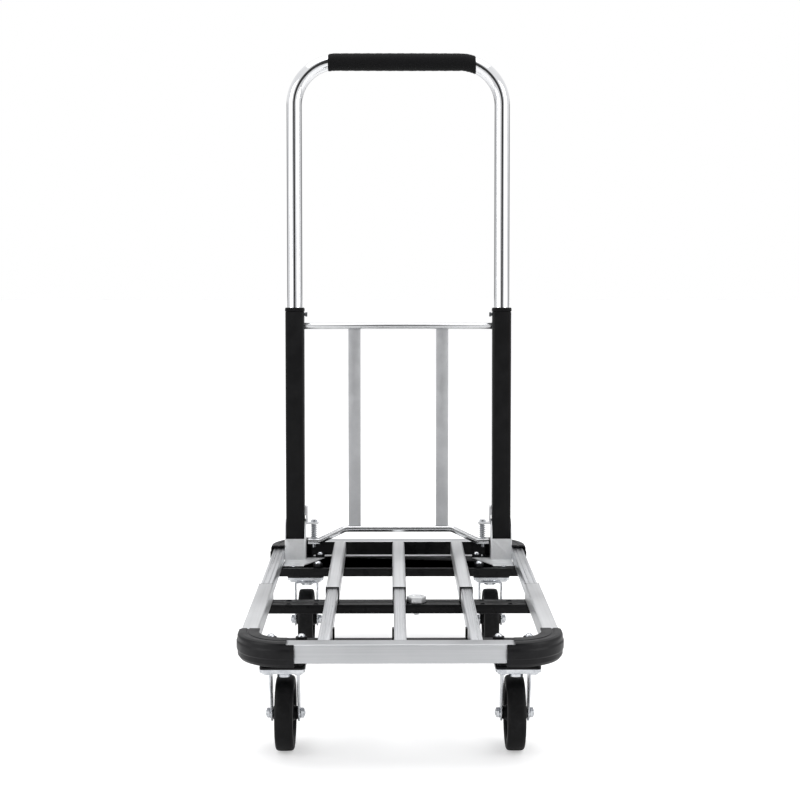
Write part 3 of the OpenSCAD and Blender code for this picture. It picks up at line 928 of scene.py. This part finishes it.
@dataclass
class DeckFrame:
    """The extruded bars of the deck, the pressed pans under its ends and the beam between."""

    bar_edge: float = 0.45
    pan_edge: float = 0.7
    fold_radius: float = 2.4
    collar_radius: float = 3.5
    collar_lip: float = 1.1
    bush_depth: float = 1.8
    bush_inset: float = 0.3
    bush_gap: float = 0.15

    def bars(self) -> None:
        """Builds the crossbars, sleeves, tubes and rails with their cut ends broken."""
        for end in ("front", "rear"):
            rounded_node(f"{end}_crossbar", ALUMINIUM_ACROSS, self.bar_edge)
        for side in ("left", "right"):
            rounded_node(f"side_sleeve_{side}", ALUMINIUM_ALONG, self.bar_edge)
            rounded_node(f"side_rail_{side}", ALUMINIUM_TUBE, 0.25)
        for place in ("left", "centre", "right"):
            rounded_node(f"deck_sleeve_{place}", ALUMINIUM_ALONG, self.bar_edge)
            rounded_node(f"deck_tube_{place}", ALUMINIUM_TUBE, 0.18)

    def bush(self, sleeve: str, tube: str, body: str) -> None:
        """Builds the moulded bush in a sleeve's mouth, which a tube slides through.

        Args:
            sleeve: the sleeve's node
            tube: the node of the tube inside it
            body: the body that the sleeve belongs to
        """
        (out_low, out_high), (in_low, in_high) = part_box(sleeve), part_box(tube)
        inset, gap, depth = self.bush_inset * MM, self.bush_gap * MM, self.bush_depth * MM
        at_front = in_low.y < out_low.y
        mouth = out_low.y if at_front else out_high.y
        lip = mouth - depth if at_front else mouth + depth
        outer = (out_low.x + inset, out_high.x - inset, out_low.z + inset, out_high.z - inset)
        inner = (in_low.x - gap, in_high.x + gap, in_low.z - gap, in_high.z + gap)
        shape = bmesh.new()
        loops = []
        for y, edges in ((mouth, outer), (lip, outer), (lip, inner), (mouth, inner)):
            x0, x1, z0, z1 = edges
            loops.append([shape.verts.new((x, y, z))
                          for x, z in ((x0, z0), (x1, z0), (x1, z1), (x0, z1))])
        for first, second in zip(loops, loops[1:] + loops[:1]):
            for k in range(4):
                n = (k + 1) % 4
                shape.faces.new([first[k], first[n], second[n], second[k]])
        hand_over(f"{sleeve}_bush", mesh_of(f"{sleeve}_bush", shape), HUB_PLASTIC, body)

    def bushes(self) -> None:
        """Builds the bushes of the three deck sleeves and the two side sleeves."""
        for place in ("left", "centre", "right"):
            self.bush(f"deck_sleeve_{place}", f"deck_tube_{place}", "rear_frame")
        for side in ("left", "right"):
            self.bush(f"side_sleeve_{side}", f"side_rail_{side}", "front_frame")

    def pans(self) -> None:
        """Builds the pressed pans with rounded folds, and a bright strip along each fold, a painted
        highlight.
        """
        for end in ("front", "rear"):
            rounded_node(f"{end}_pan", BLACK_STEEL, self.pan_edge)
            rounded_node(f"{end}_corner_plates", BLACK_STEEL, 0.6)
            self.fold(end)

    def fold(self, end: str) -> None:
        """Builds a bright satin zinc strip in the fold where the pan turns up: a painted highlight
        along the fold.

        Args:
            end: "front" or "rear"
        """
        low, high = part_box(f"{end}_crossbar")
        floor = low.z
        inner = (low.y if end == "rear" else high.y) / MM
        facing = -1 if end == "rear" else 1
        r = self.fold_radius
        curve = [(inner + facing * (2 + r * (1 - math.sin(math.radians(a)))),
                  floor / MM + r * (1 - math.cos(math.radians(a)))) for a in range(0, 91, 15)]
        section = [(inner + facing * 1.8, floor / MM - 0.3), *curve]
        shape = bmesh.new()
        rows = [[shape.verts.new(Vector((x, p[0] * MM, p[1] * MM))) for p in section]
                for x in (low.x + 0.004, high.x - 0.004)]
        for k in range(len(section)):
            n = (k + 1) % len(section)
            shape.faces.new([rows[0][k], rows[0][n], rows[1][n], rows[1][k]])
        for row in rows:
            shape.faces.new(row)
        # The bright strip is a painted highlight on the pan's fold.
        hand_over(f"{end}_crossbar_lip", mesh_of(f"{end}_crossbar_lip", shape), ZINC_SATIN,
                  f"{end}_frame")

    def beam(self) -> None:
        """Builds the mid beam and the pressed collars round its spare holes."""
        rounded_node("mid_beam", BLACK_STEEL, 0.5)
        spots = []
        for mount in frame["record"]["mounts"]:
            if mount["kind"] != "bolt_pattern":
                continue
            x, y, z = mount["pos_m"]
            half = [mount["dims"]["spacing_x_mm"] * MM / 2, mount["dims"]["spacing_y_mm"] * MM / 2]
            spots += [Vector((x + i * half[0], y + j * half[1], z))
                      for i in (-1, 1) for j in (-1, 1)]
        r, lip = self.collar_radius, self.collar_lip
        ring = turned("hole_collar", [(-0.6, r + 0.05), (0.25, r + 0.05), (0.5, r + 0.35),
                                      (0.5, r + lip - 0.3), (0.2, r + lip), (-0.3, r + lip)],
                      Vector(), Axis.Z, 28, closed=True)
        hand_over("beam_hole_collars", repeated("beam_hole_collars", ring, spots, None,
                                                BLACK_OXIDE), BLACK_OXIDE, "rear_frame")

    def brackets(self) -> None:
        """Builds the pressed foot brackets and the pins that the handle turns on."""
        for side in ("left", "right"):
            rounded_node(f"foot_bracket_{side}", ZINC_SATIN, 0.55, 3)
        dress(ZINC_BRIGHT, "pivot_pins")

    def knob(self) -> None:
        """Builds the lock knob with its pressed corners rounded."""
        rounded_node("lock_knob", ZINC_SATIN, 0.7, 3)

    def fasteners(self, sizes: HardwareSizes) -> None:
        """Builds the bolts and nuts that hold the caster plates, one mesh of each for each end.

        Args:
            sizes: the hardware's sizes
        """
        for end in ("front", "rear"):
            body = f"{end}_frame"
            nuts = [Vector(((low.x + high.x) / 2, (low.y + high.y) / 2, low.z))
                    for low, high in islands(f"{end}_caster_nuts")]
            nut = sizes.hexagon("plate_nut", sizes.nut_radius, sizes.nut_height)
            name = f"{end}_plate_nuts"
            hand_over(name, repeated(name, nut, nuts, None, BLACK_OXIDE), BLACK_OXIDE, body,
                      [f"{end}_caster_nuts"])
            tops = [p + Vector((0, 0, sizes.nut_height * MM - 0.0002)) for p in nuts]
            shanks = [Vector(((low.x + high.x) / 2, (low.y + high.y) / 2, high.z))
                      for low, high in islands(f"{end}_caster_bolts")]
            flush = [p - Vector((0, 0, sizes.flush_height * MM)) for p in shanks
                     if all((p - nut_at).xy.length > sizes.match * MM for nut_at in nuts)]
            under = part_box(f"{end}_caster_bolts")[0].z
            feet = [Vector((p.x, p.y, under)) for p in shanks]
            name = f"{end}_plate_bolts"
            domes = repeated(name, sizes.dome("bolt_dome"), tops, None, ZINC_BRIGHT)
            heads = repeated(name, sizes.hexagon("bolt_head", sizes.head_radius,
                                                 sizes.head_height), feet, None, ZINC_BRIGHT)
            ends = [domes, heads]
            if flush:
                ends.append(repeated(f"{end}_flush", sizes.disc("bolt_disc"), flush, None,
                                     ZINC_BRIGHT))
            hand_over(name, joined(name, ends), ZINC_BRIGHT, body,
                      [f"{end}_caster_bolts"])

    def build(self) -> None:
        """Builds the whole deck."""
        self.bars()
        self.bushes()
        self.pans()
        self.beam()
        self.brackets()
        self.knob()
        self.fasteners(HardwareSizes())


@dataclass
class CornerBumper:
    """One moulded corner bumper: a wall with a top skin, swept round the deck's corner."""

    end: End
    side: Side
    radius: float = 65.0
    leg: float = 12.0
    skin_in: float = 36.0
    frame_height: float = 24.0
    lip: float = 3.0
    skirt: float = 5.4
    arc_steps: int = 28

    def profile(self, base: float) -> list[Pair]:
        """Returns the wall's section as (distance from the corner's centre, height).

        Args:
            base: the height of the frame's underside
        Returns:
            the outline, with a groove in its top skin and a band round its face
        """
        r, top = self.radius, base + self.frame_height
        corners = [(self.skin_in, top), (self.skin_in, top + self.lip),
                   (r - 15.5, top + self.lip), (r - 14.7, top + self.lip - 1.0),
                   (r - 13.0, top + self.lip - 1.0), (r - 12.2, top + self.lip),
                   (r - 6.5, top + self.lip), (r - 2.4, top + 1.8), (r - 1.3, top - 1.0),
                   (r - 1.3, top - 6.0), (r, top - 7.6), (r, base + 6.5), (r - 1.2, base + 5.0),
                   (r - 1.3, base - 1.0), (r - 4.5, base - self.skirt),
                   (r - 7.0, base - self.skirt), (r - 7.0, base - 3.0), (r - 3.0, base),
                   (r - 3.0, top)]
        return rounded_outline(corners, 0.7)

    def build(self) -> None:
        """Sweeps the wall, cuts it clear of its neighbours and puts it in place."""
        place = f"{self.end.name.lower()}_bumper_{self.side.name.lower()}"
        low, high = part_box(place)
        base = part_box(f"{self.end.name.lower()}_crossbar")[0].z / MM
        cx = (high.x if self.side is Side.RIGHT else -low.x) / MM - self.radius
        cy = (high.y if self.end is End.REAR else -low.y) / MM - self.radius
        stations = [(cx, cy - self.leg, 0.0)]
        stations += [(cx, cy, 90.0 * k / self.arc_steps) for k in range(self.arc_steps + 1)]
        stations += [(cx - self.leg, cy, 90.0)]
        section = self.profile(base)
        shape = bmesh.new()
        rows = []
        for x, y, angle in stations:
            out = Vector((math.cos(math.radians(angle)), math.sin(math.radians(angle))))
            rows.append([shape.verts.new(Vector((
                (x + out.x * r) * self.side.value, (y + out.y * r) * self.end.value, z)) * MM)
                for r, z in section])
        for first, second in zip(rows, rows[1:]):
            for k in range(len(section)):
                n = (k + 1) % len(section)
                shape.faces.new([first[k], first[n], second[n], second[k]])
        shape.faces.new(rows[0])
        shape.faces.new(rows[-1])
        obj = placed(place, mesh_of(place, shape))
        top = base + self.frame_height
        cuts = [((cx - self.leg - 1, cy + 25, top), (cx - 2, cy + self.radius + 1, top + 6))]
        if self.end is End.REAR:
            cuts.append(((cx, cy - 20, base - 11),
                         (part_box("side_rail_right")[0].x / MM + 0.3, cy + 33, top + 6)))
        blocks = []
        for first, last in cuts:
            block = bmesh.new()
            bmesh.ops.create_cube(block, size=1.0)
            size = (Vector(last) - Vector(first)) * MM
            middle = (Vector(last) + Vector(first)) / 2 * MM
            middle.x *= self.side.value
            middle.y *= self.end.value
            block.transform(Matrix.Translation(middle) @ Matrix.Diagonal((*size, 1.0)))
            blocks.append(placed("bumper_cut", mesh_of("bumper_cut", block)))
            clear = obj.modifiers.new("Clear", "BOOLEAN")
            clear.object = blocks[-1]
            clear.solver = "EXACT"
        mesh = settled(obj)
        for block in blocks:
            bpy.data.objects.remove(block)
        hand_over(f"{place}_moulded", mesh, BUMPER_PLASTIC, f"{self.end.name.lower()}_frame",
                  [place], smooth=28.0)


@dataclass
class Caster:
    """One swivel caster: pressed fork, ball race, axle hardware, spoked hub and solid tyre."""

    end: End
    side: Side
    leg_out: float = 19.0
    leg_thick: float = 2.5
    crown: float = 111.0
    crown_front: float = 13.0
    race: float = 14.5
    bend: float = 4.0
    foot_radius: float = 11.0
    trail: float = 16.0
    hub_half: float = 16.0
    hub_radius: float = 10.0
    rim_in: float = 34.0
    rim_out: float = 38.0
    spokes: int = 5

    def place(self) -> str:
        """Returns the caster's place in node names."""
        return f"{self.end.name.lower()}_{self.side.name.lower()}"

    def centre(self) -> Vector:
        """Returns the wheel's centre."""
        low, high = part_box(f"tyre_{self.place()}")
        return (low + high) / 2

    def widths(self, z: float) -> Pair:
        """Returns the leg's back and front edges at a height, from the kingpin.

        Args:
            z: height in millimetres
        Returns:
            (back, front), with the trail towards the back
        """
        axle = self.centre().z / MM
        if z < axle + 3:
            half = math.sqrt(max(self.foot_radius ** 2 - (z - axle) ** 2, 0.05))
            return -self.trail - half, -self.trail + half
        front = [(axle + 3, -self.trail + 10.6), (self.crown - 9.5, self.crown_front),
                 (self.crown, self.crown_front)]
        back = [(axle + 3, -self.trail - 10.6), (axle + 24, -self.trail - 9),
                (self.crown - 9.5, -24.0), (self.crown, -20.0)]
        found = []
        for edge in (back, front):
            for (z0, y0), (z1, y1) in zip(edge, edge[1:]):
                if z0 <= z <= z1 + 1e-6:
                    found.append(y0 + (y1 - y0) * (z - z0) / (z1 - z0))
                    break
        return found[0], found[1]

    def fork(self) -> None:
        """Presses the fork from one sheet: up one leg, over the crown and down the other."""
        axle = self.centre()
        king = Vector((axle.x, axle.y + self.end.value * self.trail * MM, 0))
        low = axle.z / MM - self.foot_radius + 0.15
        heights = [low + (axle.z / MM + 3 - low) * (k / 10) ** 0.6 * 1.0 for k in range(11)]
        heights += [axle.z / MM + 3 + (self.crown - self.bend - axle.z / MM - 3) * k / 12
                    for k in range(1, 13)]
        line = [(-self.leg_out, z) for z in heights]
        line += [(-self.leg_out + self.bend * (1 - math.cos(math.radians(a))),
                  self.crown - self.bend + self.bend * math.sin(math.radians(a)))
                 for a in (15, 30, 45, 60, 75, 90)]
        line += [(-8.0, self.crown), (0.0, self.crown)]
        line += [(-x, z) for x, z in reversed(line[:-1])]
        shape = bmesh.new()
        rows = []
        columns = 6
        for x, z in line:
            back, front = self.widths(z)
            rows.append([shape.verts.new(Vector((
                king.x + x * MM,
                king.y + self.end.value * (back + (front - back) * k / columns) * MM, z * MM)))
                for k in range(columns + 1)])
        for first, second in zip(rows, rows[1:]):
            for k in range(columns):
                shape.faces.new([first[k], first[k + 1], second[k + 1], second[k]])
        name = f"pressed_fork_{self.place()}"
        mesh = mesh_of(name, shape)
        up = sum((p.normal.z * p.area for p in mesh.polygons), 0.0)
        if up < 0:
            mesh.flip_normals()
        obj = placed(name, mesh)
        wall = obj.modifiers.new("Wall", "SOLIDIFY")
        wall.thickness = self.leg_thick * MM
        wall.offset = -1.0
        wall.use_even_offset = True
        sheet = edged(name, settled(obj), 0.5, 2, 50)
        r, z = self.race, self.crown
        race = turned(f"{name}_race", [(z - 0.2, 0), (z - 0.2, r), (z + 0.6, r), (z + 1.5, r - 0.4),
                                       (z + 2.1, r - 1.4), (z + 2.1, 0)], king, Axis.Z, 48)
        hand_over(name, joined(name, [sheet, race]), ZINC_BRIGHT, f"caster_{self.place()}",
                  [f"fork_{self.place()}"], smooth=35.0)

    def axle(self, sizes: HardwareSizes) -> None:
        """Builds the axle's bolt head, nut, washers and thread end.

        Args:
            sizes: the hardware's sizes, for its hexagon
        """
        centre = self.centre()
        name = f"axle_bolt_{self.place()}"
        out = self.leg_out
        spots = [centre + Vector((s * (out + 1.0) * MM, 0, 0)) for s in (-1, 1)]
        turns = [Vector((0, s * math.pi / 2, 0)) for s in (-1, 1)]
        nuts = repeated(name, sizes.hexagon("axle_nut", 6.9, 4.2, crown=1.2), spots, turns,
                        ZINC_BRIGHT)
        bar = turned(f"{name}_bar", [(-out - 6.9, 0), (-out - 6.9, 2.6), (-out - 6.2, 3.4),
                                     (-out - 1, 3.4), (-out - 1, 6.9), (-out + 0.1, 6.9),
                                     (-out + 0.1, 5.0), (out - 0.1, 5.0), (out - 0.1, 6.9),
                                     (out + 1, 6.9), (out + 1, 3.4), (out + 6.2, 3.4),
                                     (out + 6.9, 2.6), (out + 6.9, 0)], centre, Axis.X, 36)
        hand_over(name, joined(name, [nuts, bar]), ZINC_BRIGHT, f"caster_{self.place()}",
                  [f"axle_{self.place()}"])

    def hub(self) -> None:
        """Builds the hub: a stepped boss, ribbed spokes and a rim with two lips."""
        centre = self.centre()
        name = f"spoked_hub_{self.place()}"
        h, r = self.hub_half, self.hub_radius
        boss = turned(f"{name}_boss", [(-h, 5.2), (-h, r - 2.2), (-h + 0.8, r - 1.2),
                                       (-h + 4, r - 1), (-h + 5, r), (h - 5, r), (h - 4, r - 1),
                                       (h - 0.8, r - 1.2), (h, r - 2.2), (h, 5.2)],
                      centre, Axis.X, 40, closed=True)
        rim = turned(f"{name}_rim", [(-11, self.rim_out), (-11, self.rim_in + 0.8),
                                     (-10.2, self.rim_in), (-8.5, self.rim_in),
                                     (-7.5, self.rim_in + 0.9), (7.5, self.rim_in + 0.9),
                                     (8.5, self.rim_in), (10.2, self.rim_in),
                                     (11, self.rim_in + 0.8), (11, self.rim_out)],
                     centre, Axis.X, 72, closed=True)
        shape = bmesh.new()
        sections = [(r - 1.5, 7.0, 4.0), (r + 4, 5.6, 3.4), (self.rim_in - 5, 5.6, 3.4),
                    (self.rim_in + 1.5, 7.0, 4.0)]
        rows = [[shape.verts.new(Vector((x * w, y * t, z)) * MM)
                 for x, y in ((-1, -0.45), (-0.45, -1), (0.45, -1), (1, -0.45), (1, 0.45),
                              (0.45, 1), (-0.45, 1), (-1, 0.45))] for z, w, t in sections]
        for first, second in zip(rows, rows[1:]):
            for k in range(8):
                shape.faces.new([first[k], first[(k + 1) % 8], second[(k + 1) % 8], second[k]])
        shape.faces.new(rows[0])
        shape.faces.new(rows[-1])
        turns = [Vector((2 * math.pi * k / self.spokes, 0, 0)) for k in range(self.spokes)]
        ribs = repeated(f"{name}_ribs", mesh_of("hub_spoke", shape), [centre] * self.spokes,
                        turns, HUB_PLASTIC)
        hand_over(name, joined(name, [boss, rim, ribs]), HUB_PLASTIC, f"wheel_{self.place()}",
                  [f"hub_{self.place()}"])

    def tyre(self) -> None:
        """Builds the tyre with round shoulders, a crowned tread and a line in each wall."""
        low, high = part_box(f"tyre_{self.place()}")
        half, outer = (high.x - low.x) / 2 / MM, (high.z - low.z) / 2 / MM
        inner = self.rim_out
        wall = [(-half, inner), (-half, inner + 2.2), (-half + 0.5, inner + 2.6),
                (-half + 0.5, inner + 3.2), (-half, inner + 3.6), (-half, outer - 4.4)]
        shoulder = [(-half + 4.2 * (1 - math.cos(math.radians(a))),
                     outer - 4.4 + 4.1 * math.sin(math.radians(a))) for a in (20, 40, 60, 78)]
        crown = [(-half + 5.0, outer - 0.22), (-half * 0.4, outer - 0.05), (0, outer)]
        right = [(-x, r) for x, r in reversed((wall + shoulder + crown)[:-1])]
        name = f"rubber_tyre_{self.place()}"
        mesh = turned(name, wall + shoulder + crown + right, self.centre(), Axis.X, 96,
                      closed=True)
        hand_over(name, mesh, TYRE_RUBBER, f"wheel_{self.place()}",
                  [f"tyre_{self.place()}"])

    def build(self) -> None:
        """Builds the whole caster."""
        self.fork()
        self.axle(HardwareSizes())
        self.hub()
        self.tyre()


@dataclass
class HandleSizes:
    """Sizes up the handle, measured from its pivot."""

    reach: float = 169.5
    tube: float = 12.5
    tube_start: float = 290.0
    bend: float = 70.0
    grip_out: float = 14.4
    bar: float = 5.3
    bar_mid: float = -3.5
    bar_end: float = -24.0
    knee: float = 88.0
    foot: float = 131.0
    bar_out: float = 149.0
    spring_x: float = 139.0
    spring_radius: float = 4.6
    wire: float = 0.75
    spring_low: float = -18.0
    spring_high: float = 4.3


class PushHandle:
    """The uprights, the chromed loop with its foam grip, and the sprung release frame."""

    def __init__(self, sizes: HandleSizes) -> None:
        """Reads the pivot, the lean and the grip's height from the frame.

        Args:
            sizes: the handle's sizes
        """
        joints = {j["name"]: j for j in frame["joints"]}
        pivot = Vector(joints["handle_fold"]["pos_m"])
        down = Vector(joints["handle_telescope"]["axis"])
        self.lean = math.atan2(-down.y, -down.z)
        self.place = Matrix.Translation(pivot) @ Matrix.Rotation(-self.lean, 4, "X")
        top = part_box("chrome_handle")[1]
        back = self.place.inverted() @ Vector((0, top.y, top.z))
        self.top = (back.z / MM) - sizes.tube
        self.sizes = sizes

    def at(self, x: float, y: float, h: float) -> Vector:
        """Returns the point at a place on the handle, given in millimetres from its pivot."""
        return self.place @ (Vector((x, y, h)) * MM)

    def loop(self) -> None:
        """Bends the chromed tube."""
        s = self.sizes
        points = [self.at(-s.reach, 0, s.tube_start), self.at(-s.reach, 0, self.top),
                  self.at(s.reach, 0, self.top), self.at(s.reach, 0, s.tube_start)]
        mesh = RODS.grow("chromed_loop", path_mesh("loop_path", points), {
            "Radius": s.tube * MM, "Bend Radius": s.bend * MM, "Bend Steps": 28, "Sides": 56},
            CHROME)
        hand_over("chromed_loop", mesh, CHROME, "chrome_tube", ["chrome_handle"],
                  smooth=50.0)

    def grip(self) -> None:
        """Builds the foam sleeve: soft rolled ends, a slight swell, and creases in its bends."""
        s = self.sizes
        straight = s.reach - s.bend
        low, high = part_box("foam_grip")
        start, stop = low.x / MM, high.x / MM
        rows_out = 150
        stations = []
        middle, half = (start + stop) / 2, (stop - start) / 2
        for i in range(rows_out + 1):
            x = start + (stop - start) * i / rows_out
            from_end = min(x - start, stop - x)
            swell = 0.25 * math.cos((x - middle) / half * math.pi / 2)
            ripple = 0.12 * math.sin(x * 0.35) + 0.08 * math.sin(x * 0.9 + 1.3)
            radius = s.grip_out - 0.5 + swell + ripple
            if from_end < 2.4:
                radius -= 1.8 * (1 - math.sqrt(max(1 - (1 - from_end / 2.4) ** 2, 0)))
            stations.append((x, radius, True))
        inner = s.tube + 0.1
        stations += [(stop, inner + 0.3, False)]
        stations += [(stop - 1.0 - (2 * half - 2.0) * i / 39, inner, False) for i in range(40)]
        stations += [(start, inner + 0.3, False)]
        shape = bmesh.new()
        sides = 44
        rows = []
        for x, radius, outer in stations:
            over = max(abs(x) - straight, 0.0)
            angle = math.asin(over / s.bend)
            h = self.top - s.bend * (1 - math.cos(angle))
            ring = []
            for k in range(sides):
                a = 2 * math.pi * k / sides
                crease = 0.0
                if outer and over > 2.0:
                    crease = 0.45 * max(-math.sin(a), 0) * (0.5 + 0.5 * math.sin(x * 1.1))
                r = radius - crease
                ring.append(shape.verts.new(self.at(
                    x, r * math.cos(a), h + r * math.sin(a) / math.cos(angle))))
            rows.append(ring)
        for first, second in zip(rows, rows[1:] + rows[:1]):
            for k in range(sides):
                n = (k + 1) % sides
                shape.faces.new([first[k], first[n], second[n], second[k]])
        grip = hand_over("foam_sleeve", mesh_of("foam_sleeve", shape), GRIP_FOAM, "chrome_tube",
                         ["foam_grip"], smooth=60.0)

    def uprights(self) -> None:
        """Builds the square uprights and the moulded collars on their tops."""
        for side in ("left", "right"):
            rounded_node(f"upright_{side}", BLACK_UPRIGHT, 0.4)
            dress(PLAIN_STEEL, f"snap_button_{side}")
        rounded_node("upright_collars", HUB_PLASTIC, 2.1, 4)

    def release(self) -> None:
        """Builds the release frame: top bar, two slats and the cranked lower bar."""
        s = self.sizes
        rounded_node("release_top_bar", ZINC_ROD, 0.3)
        rounded_node("release_slats", SILVER_ENAMEL, 0.5)
        run = [(-s.bar_out, s.bar_end), (-s.foot, s.bar_end), (-s.knee, s.bar_mid),
               (s.knee, s.bar_mid), (s.foot, s.bar_end), (s.bar_out, s.bar_end)]
        mesh = RODS.grow("cranked_bar", path_mesh("bar_path", [self.at(x, 0, h) for x, h in run]), {
            "Radius": s.bar * MM, "Bend Radius": 14 * MM, "Bend Steps": 8, "Sides": 28},
            ZINC_ROD)
        hand_over("cranked_bar", mesh, ZINC_ROD, "release_frame",
                  ["release_lower_bar"], smooth=50.0)

    def springs(self) -> None:
        """Winds the two return springs and builds the tabs and bolts that hold them."""
        s = self.sizes
        spots = [self.at(x, 0, s.spring_low) for x in (-s.spring_x, s.spring_x)]
        mesh = COILS.grow("return_springs", path_mesh("spring_spots", spots), {
            "Turns": 7.0, "Coil Radius": s.spring_radius * MM, "Wire Radius": s.wire * MM,
            "Length": (s.spring_high - s.spring_low) * MM, "Lean": (-self.lean, 0.0, 0.0)},
            SPRING_WIRE)
        ends = Stretch("handle", self.at(0, 0, s.spring_low), self.at(0, 0, s.spring_high))
        hand_over("return_springs", mesh, SPRING_WIRE, "release_frame",
                  ["release_springs"], smooth=50.0, stretch=ends)
        rounded_node("spring_tabs", ZINC_SATIN, 0.35)
        rounded_node("spring_bolts", ZINC_BRIGHT, 0.3)

    def build(self) -> None:
        """Builds the whole handle."""
        self.uprights()
        self.loop()
        self.grip()
        self.release()
        self.springs()


@dataclass
class StudioSet:
    """A plain pale floor, soft light from above and both sides, and the camera."""

    camera_place: tuple[float, float, float] = (-0.0106, -2.2485, 0.6666)
    camera_tilt: float = 84.11
    camera_turn: float = -0.3
    lens: float = 70.27
    floor_size: float = 30.0
    floor_glow: float = 3.75
    floor_bounce: float = 0.0
    floor_share: float = 0.1
    gap_start: float = 0.16
    gap_stop: float = 0.36
    gap_light: float = 0.04
    room_side: float = 0.85
    room_back: float = 0.9
    room_low: float = 0.3
    low_start: float = 0.06
    low_stop: float = 0.2
    back_start: float = 1.8
    back_stop: float = 2.15

    def camera(self) -> None:
        """Sets up the camera."""
        data = bpy.data.cameras.new("Camera")
        data.lens, data.sensor_width = self.lens, 36.0
        data.clip_end = 100.0
        cam = bpy.data.objects.new("Camera", data)
        cam.location = self.camera_place
        cam.rotation_euler = (math.radians(self.camera_tilt), 0, math.radians(self.camera_turn))
        bpy.context.scene.collection.objects.link(cam)
        bpy.context.scene.camera = cam

    def floor(self) -> None:
        """Lays the floor: matt white paper, lit from below for the view but not in reflections."""
        material = bpy.data.materials.new("White_studio_paper")
        material.use_nodes = True
        tree = material.node_tree
        tree.nodes.clear()
        matt = add_node(tree, "ShaderNodeBsdfDiffuse", {}, {"Color": linear("#F6F6F6")})
        seen = add_node(tree, "ShaderNodeLightPath")
        level = add_node(tree, "ShaderNodeMix", {}, {
            0: seen.outputs["Is Camera Ray"], 2: self.floor_bounce, 3: self.floor_glow})
        glow = add_node(tree, "ShaderNodeEmission", {}, {"Strength": level.outputs[0]})
        mixed = add_node(tree, "ShaderNodeMixShader", {}, {
            0: self.floor_share, 1: matt.outputs["BSDF"], 2: glow.outputs["Emission"]})
        add_node(tree, "ShaderNodeOutputMaterial", {}, {"Surface": mixed.outputs["Shader"]})
        shape = bmesh.new()
        bmesh.ops.create_grid(shape, x_segments=1, y_segments=1, size=self.floor_size / 2)
        mesh = mesh_of("studio_floor", shape, outward=False)
        mesh.materials.append(material)
        placed("studio_floor", mesh)

    def lamp(self, name: str, place: Sequence[float], aim: Sequence[float], size: Pair,
             watts: float) -> None:
        """Hangs one soft box.

        Args:
            name: the lamp's name
            place: where it hangs
            aim: the point that it faces
            size: its width and height in metres
            watts: its power
        """
        data = bpy.data.lights.new(name, "AREA")
        data.shape = "RECTANGLE"
        data.size, data.size_y = size
        data.energy = watts
        obj = bpy.data.objects.new(name, data)
        obj.location = place
        obj.rotation_euler = (Vector(aim) - Vector(place)).to_track_quat("-Z", "Y").to_euler()
        bpy.context.scene.collection.objects.link(obj)

    def light(self) -> None:
        """Lights the set: a pale room, a broad box overhead and one to each side in front."""
        world = bpy.data.worlds.new("Studio")
        world.use_nodes = True
        tree = world.node_tree
        tree.nodes.clear()
        seen = add_node(tree, "ShaderNodeBackground", {}, {"Color": (1, 1, 1, 1), "Strength": 1.0})
        way = add_node(tree, "ShaderNodeSeparateXYZ", {}, {
            "Vector": add_node(tree, "ShaderNodeTexCoord").outputs["Generated"]})
        ahead = add_node(tree, "ShaderNodeMath", {"operation": "MULTIPLY"}, {
            0: way.outputs["Y"], 1: -1.0})
        aside = add_node(tree, "ShaderNodeMath", {"operation": "ABSOLUTE"}, {0: way.outputs["X"]})
        turn = add_node(tree, "ShaderNodeMath", {"operation": "ARCTAN2"}, {
            0: aside.outputs["Value"], 1: ahead.outputs["Value"]})
        gap = add_node(tree, "ShaderNodeMapRange", {"interpolation_type": "SMOOTHSTEP"}, {
            "Value": turn.outputs["Value"], "From Min": self.gap_start, "From Max": self.gap_stop,
            "To Min": self.gap_light, "To Max": self.room_side})
        back = add_node(tree, "ShaderNodeMapRange", {"interpolation_type": "SMOOTHSTEP"}, {
            "Value": turn.outputs["Value"], "From Min": self.back_start, "From Max": self.back_stop})
        low = add_node(tree, "ShaderNodeMapRange", {"interpolation_type": "SMOOTHSTEP"}, {
            "Value": way.outputs["Z"], "From Min": self.low_start, "From Max": self.low_stop,
            "To Min": self.room_low, "To Max": self.room_back})
        depth = add_node(tree, "ShaderNodeMix", {}, {
            0: back.outputs["Result"], 2: gap.outputs["Result"], 3: low.outputs["Result"]})
        room = add_node(tree, "ShaderNodeBackground", {}, {
            "Color": linear("#FBFBFC"), "Strength": depth.outputs[0]})
        path = add_node(tree, "ShaderNodeLightPath")
        both = add_node(tree, "ShaderNodeMixShader", {}, {
            0: path.outputs["Is Camera Ray"], 1: room.outputs["Background"],
            2: seen.outputs["Background"]})
        add_node(tree, "ShaderNodeOutputWorld", {}, {"Surface": both.outputs["Shader"]})
        bpy.context.scene.world = world
        self.lamp("overhead_box", (0.0, 0.2, 2.6), (0.0, 0.0, 0.0), (2.6, 2.6), 34.0)
        self.lamp("left_box", (-2.4, -1.4, 1.3), (0.0, 0.1, 0.4), (1.6, 2.2), 24.0)
        self.lamp("right_box", (2.4, -1.4, 1.3), (0.0, 0.1, 0.4), (1.6, 2.2), 24.0)
        bpy.context.scene.view_settings.view_transform = "Standard"

    def build(self) -> None:
        """Sets up everything round the cart."""
        self.camera()
        self.floor()
        self.light()


def main() -> None:
    """Builds the studio and the cart, and reports each piece."""
    logging.basicConfig(level=logging.INFO, format="%(name)s: %(message)s")
    StudioSet().build()
    DeckFrame().build()
    for end in End:
        dress(ZINC_BRIGHT, f"{end.name.lower()}_caster_plates")
        for side in Side:
            CornerBumper(end, side).build()
            Caster(end, side).build()
    PushHandle(HandleSizes()).build()


if __name__ == "__main__":
    main()
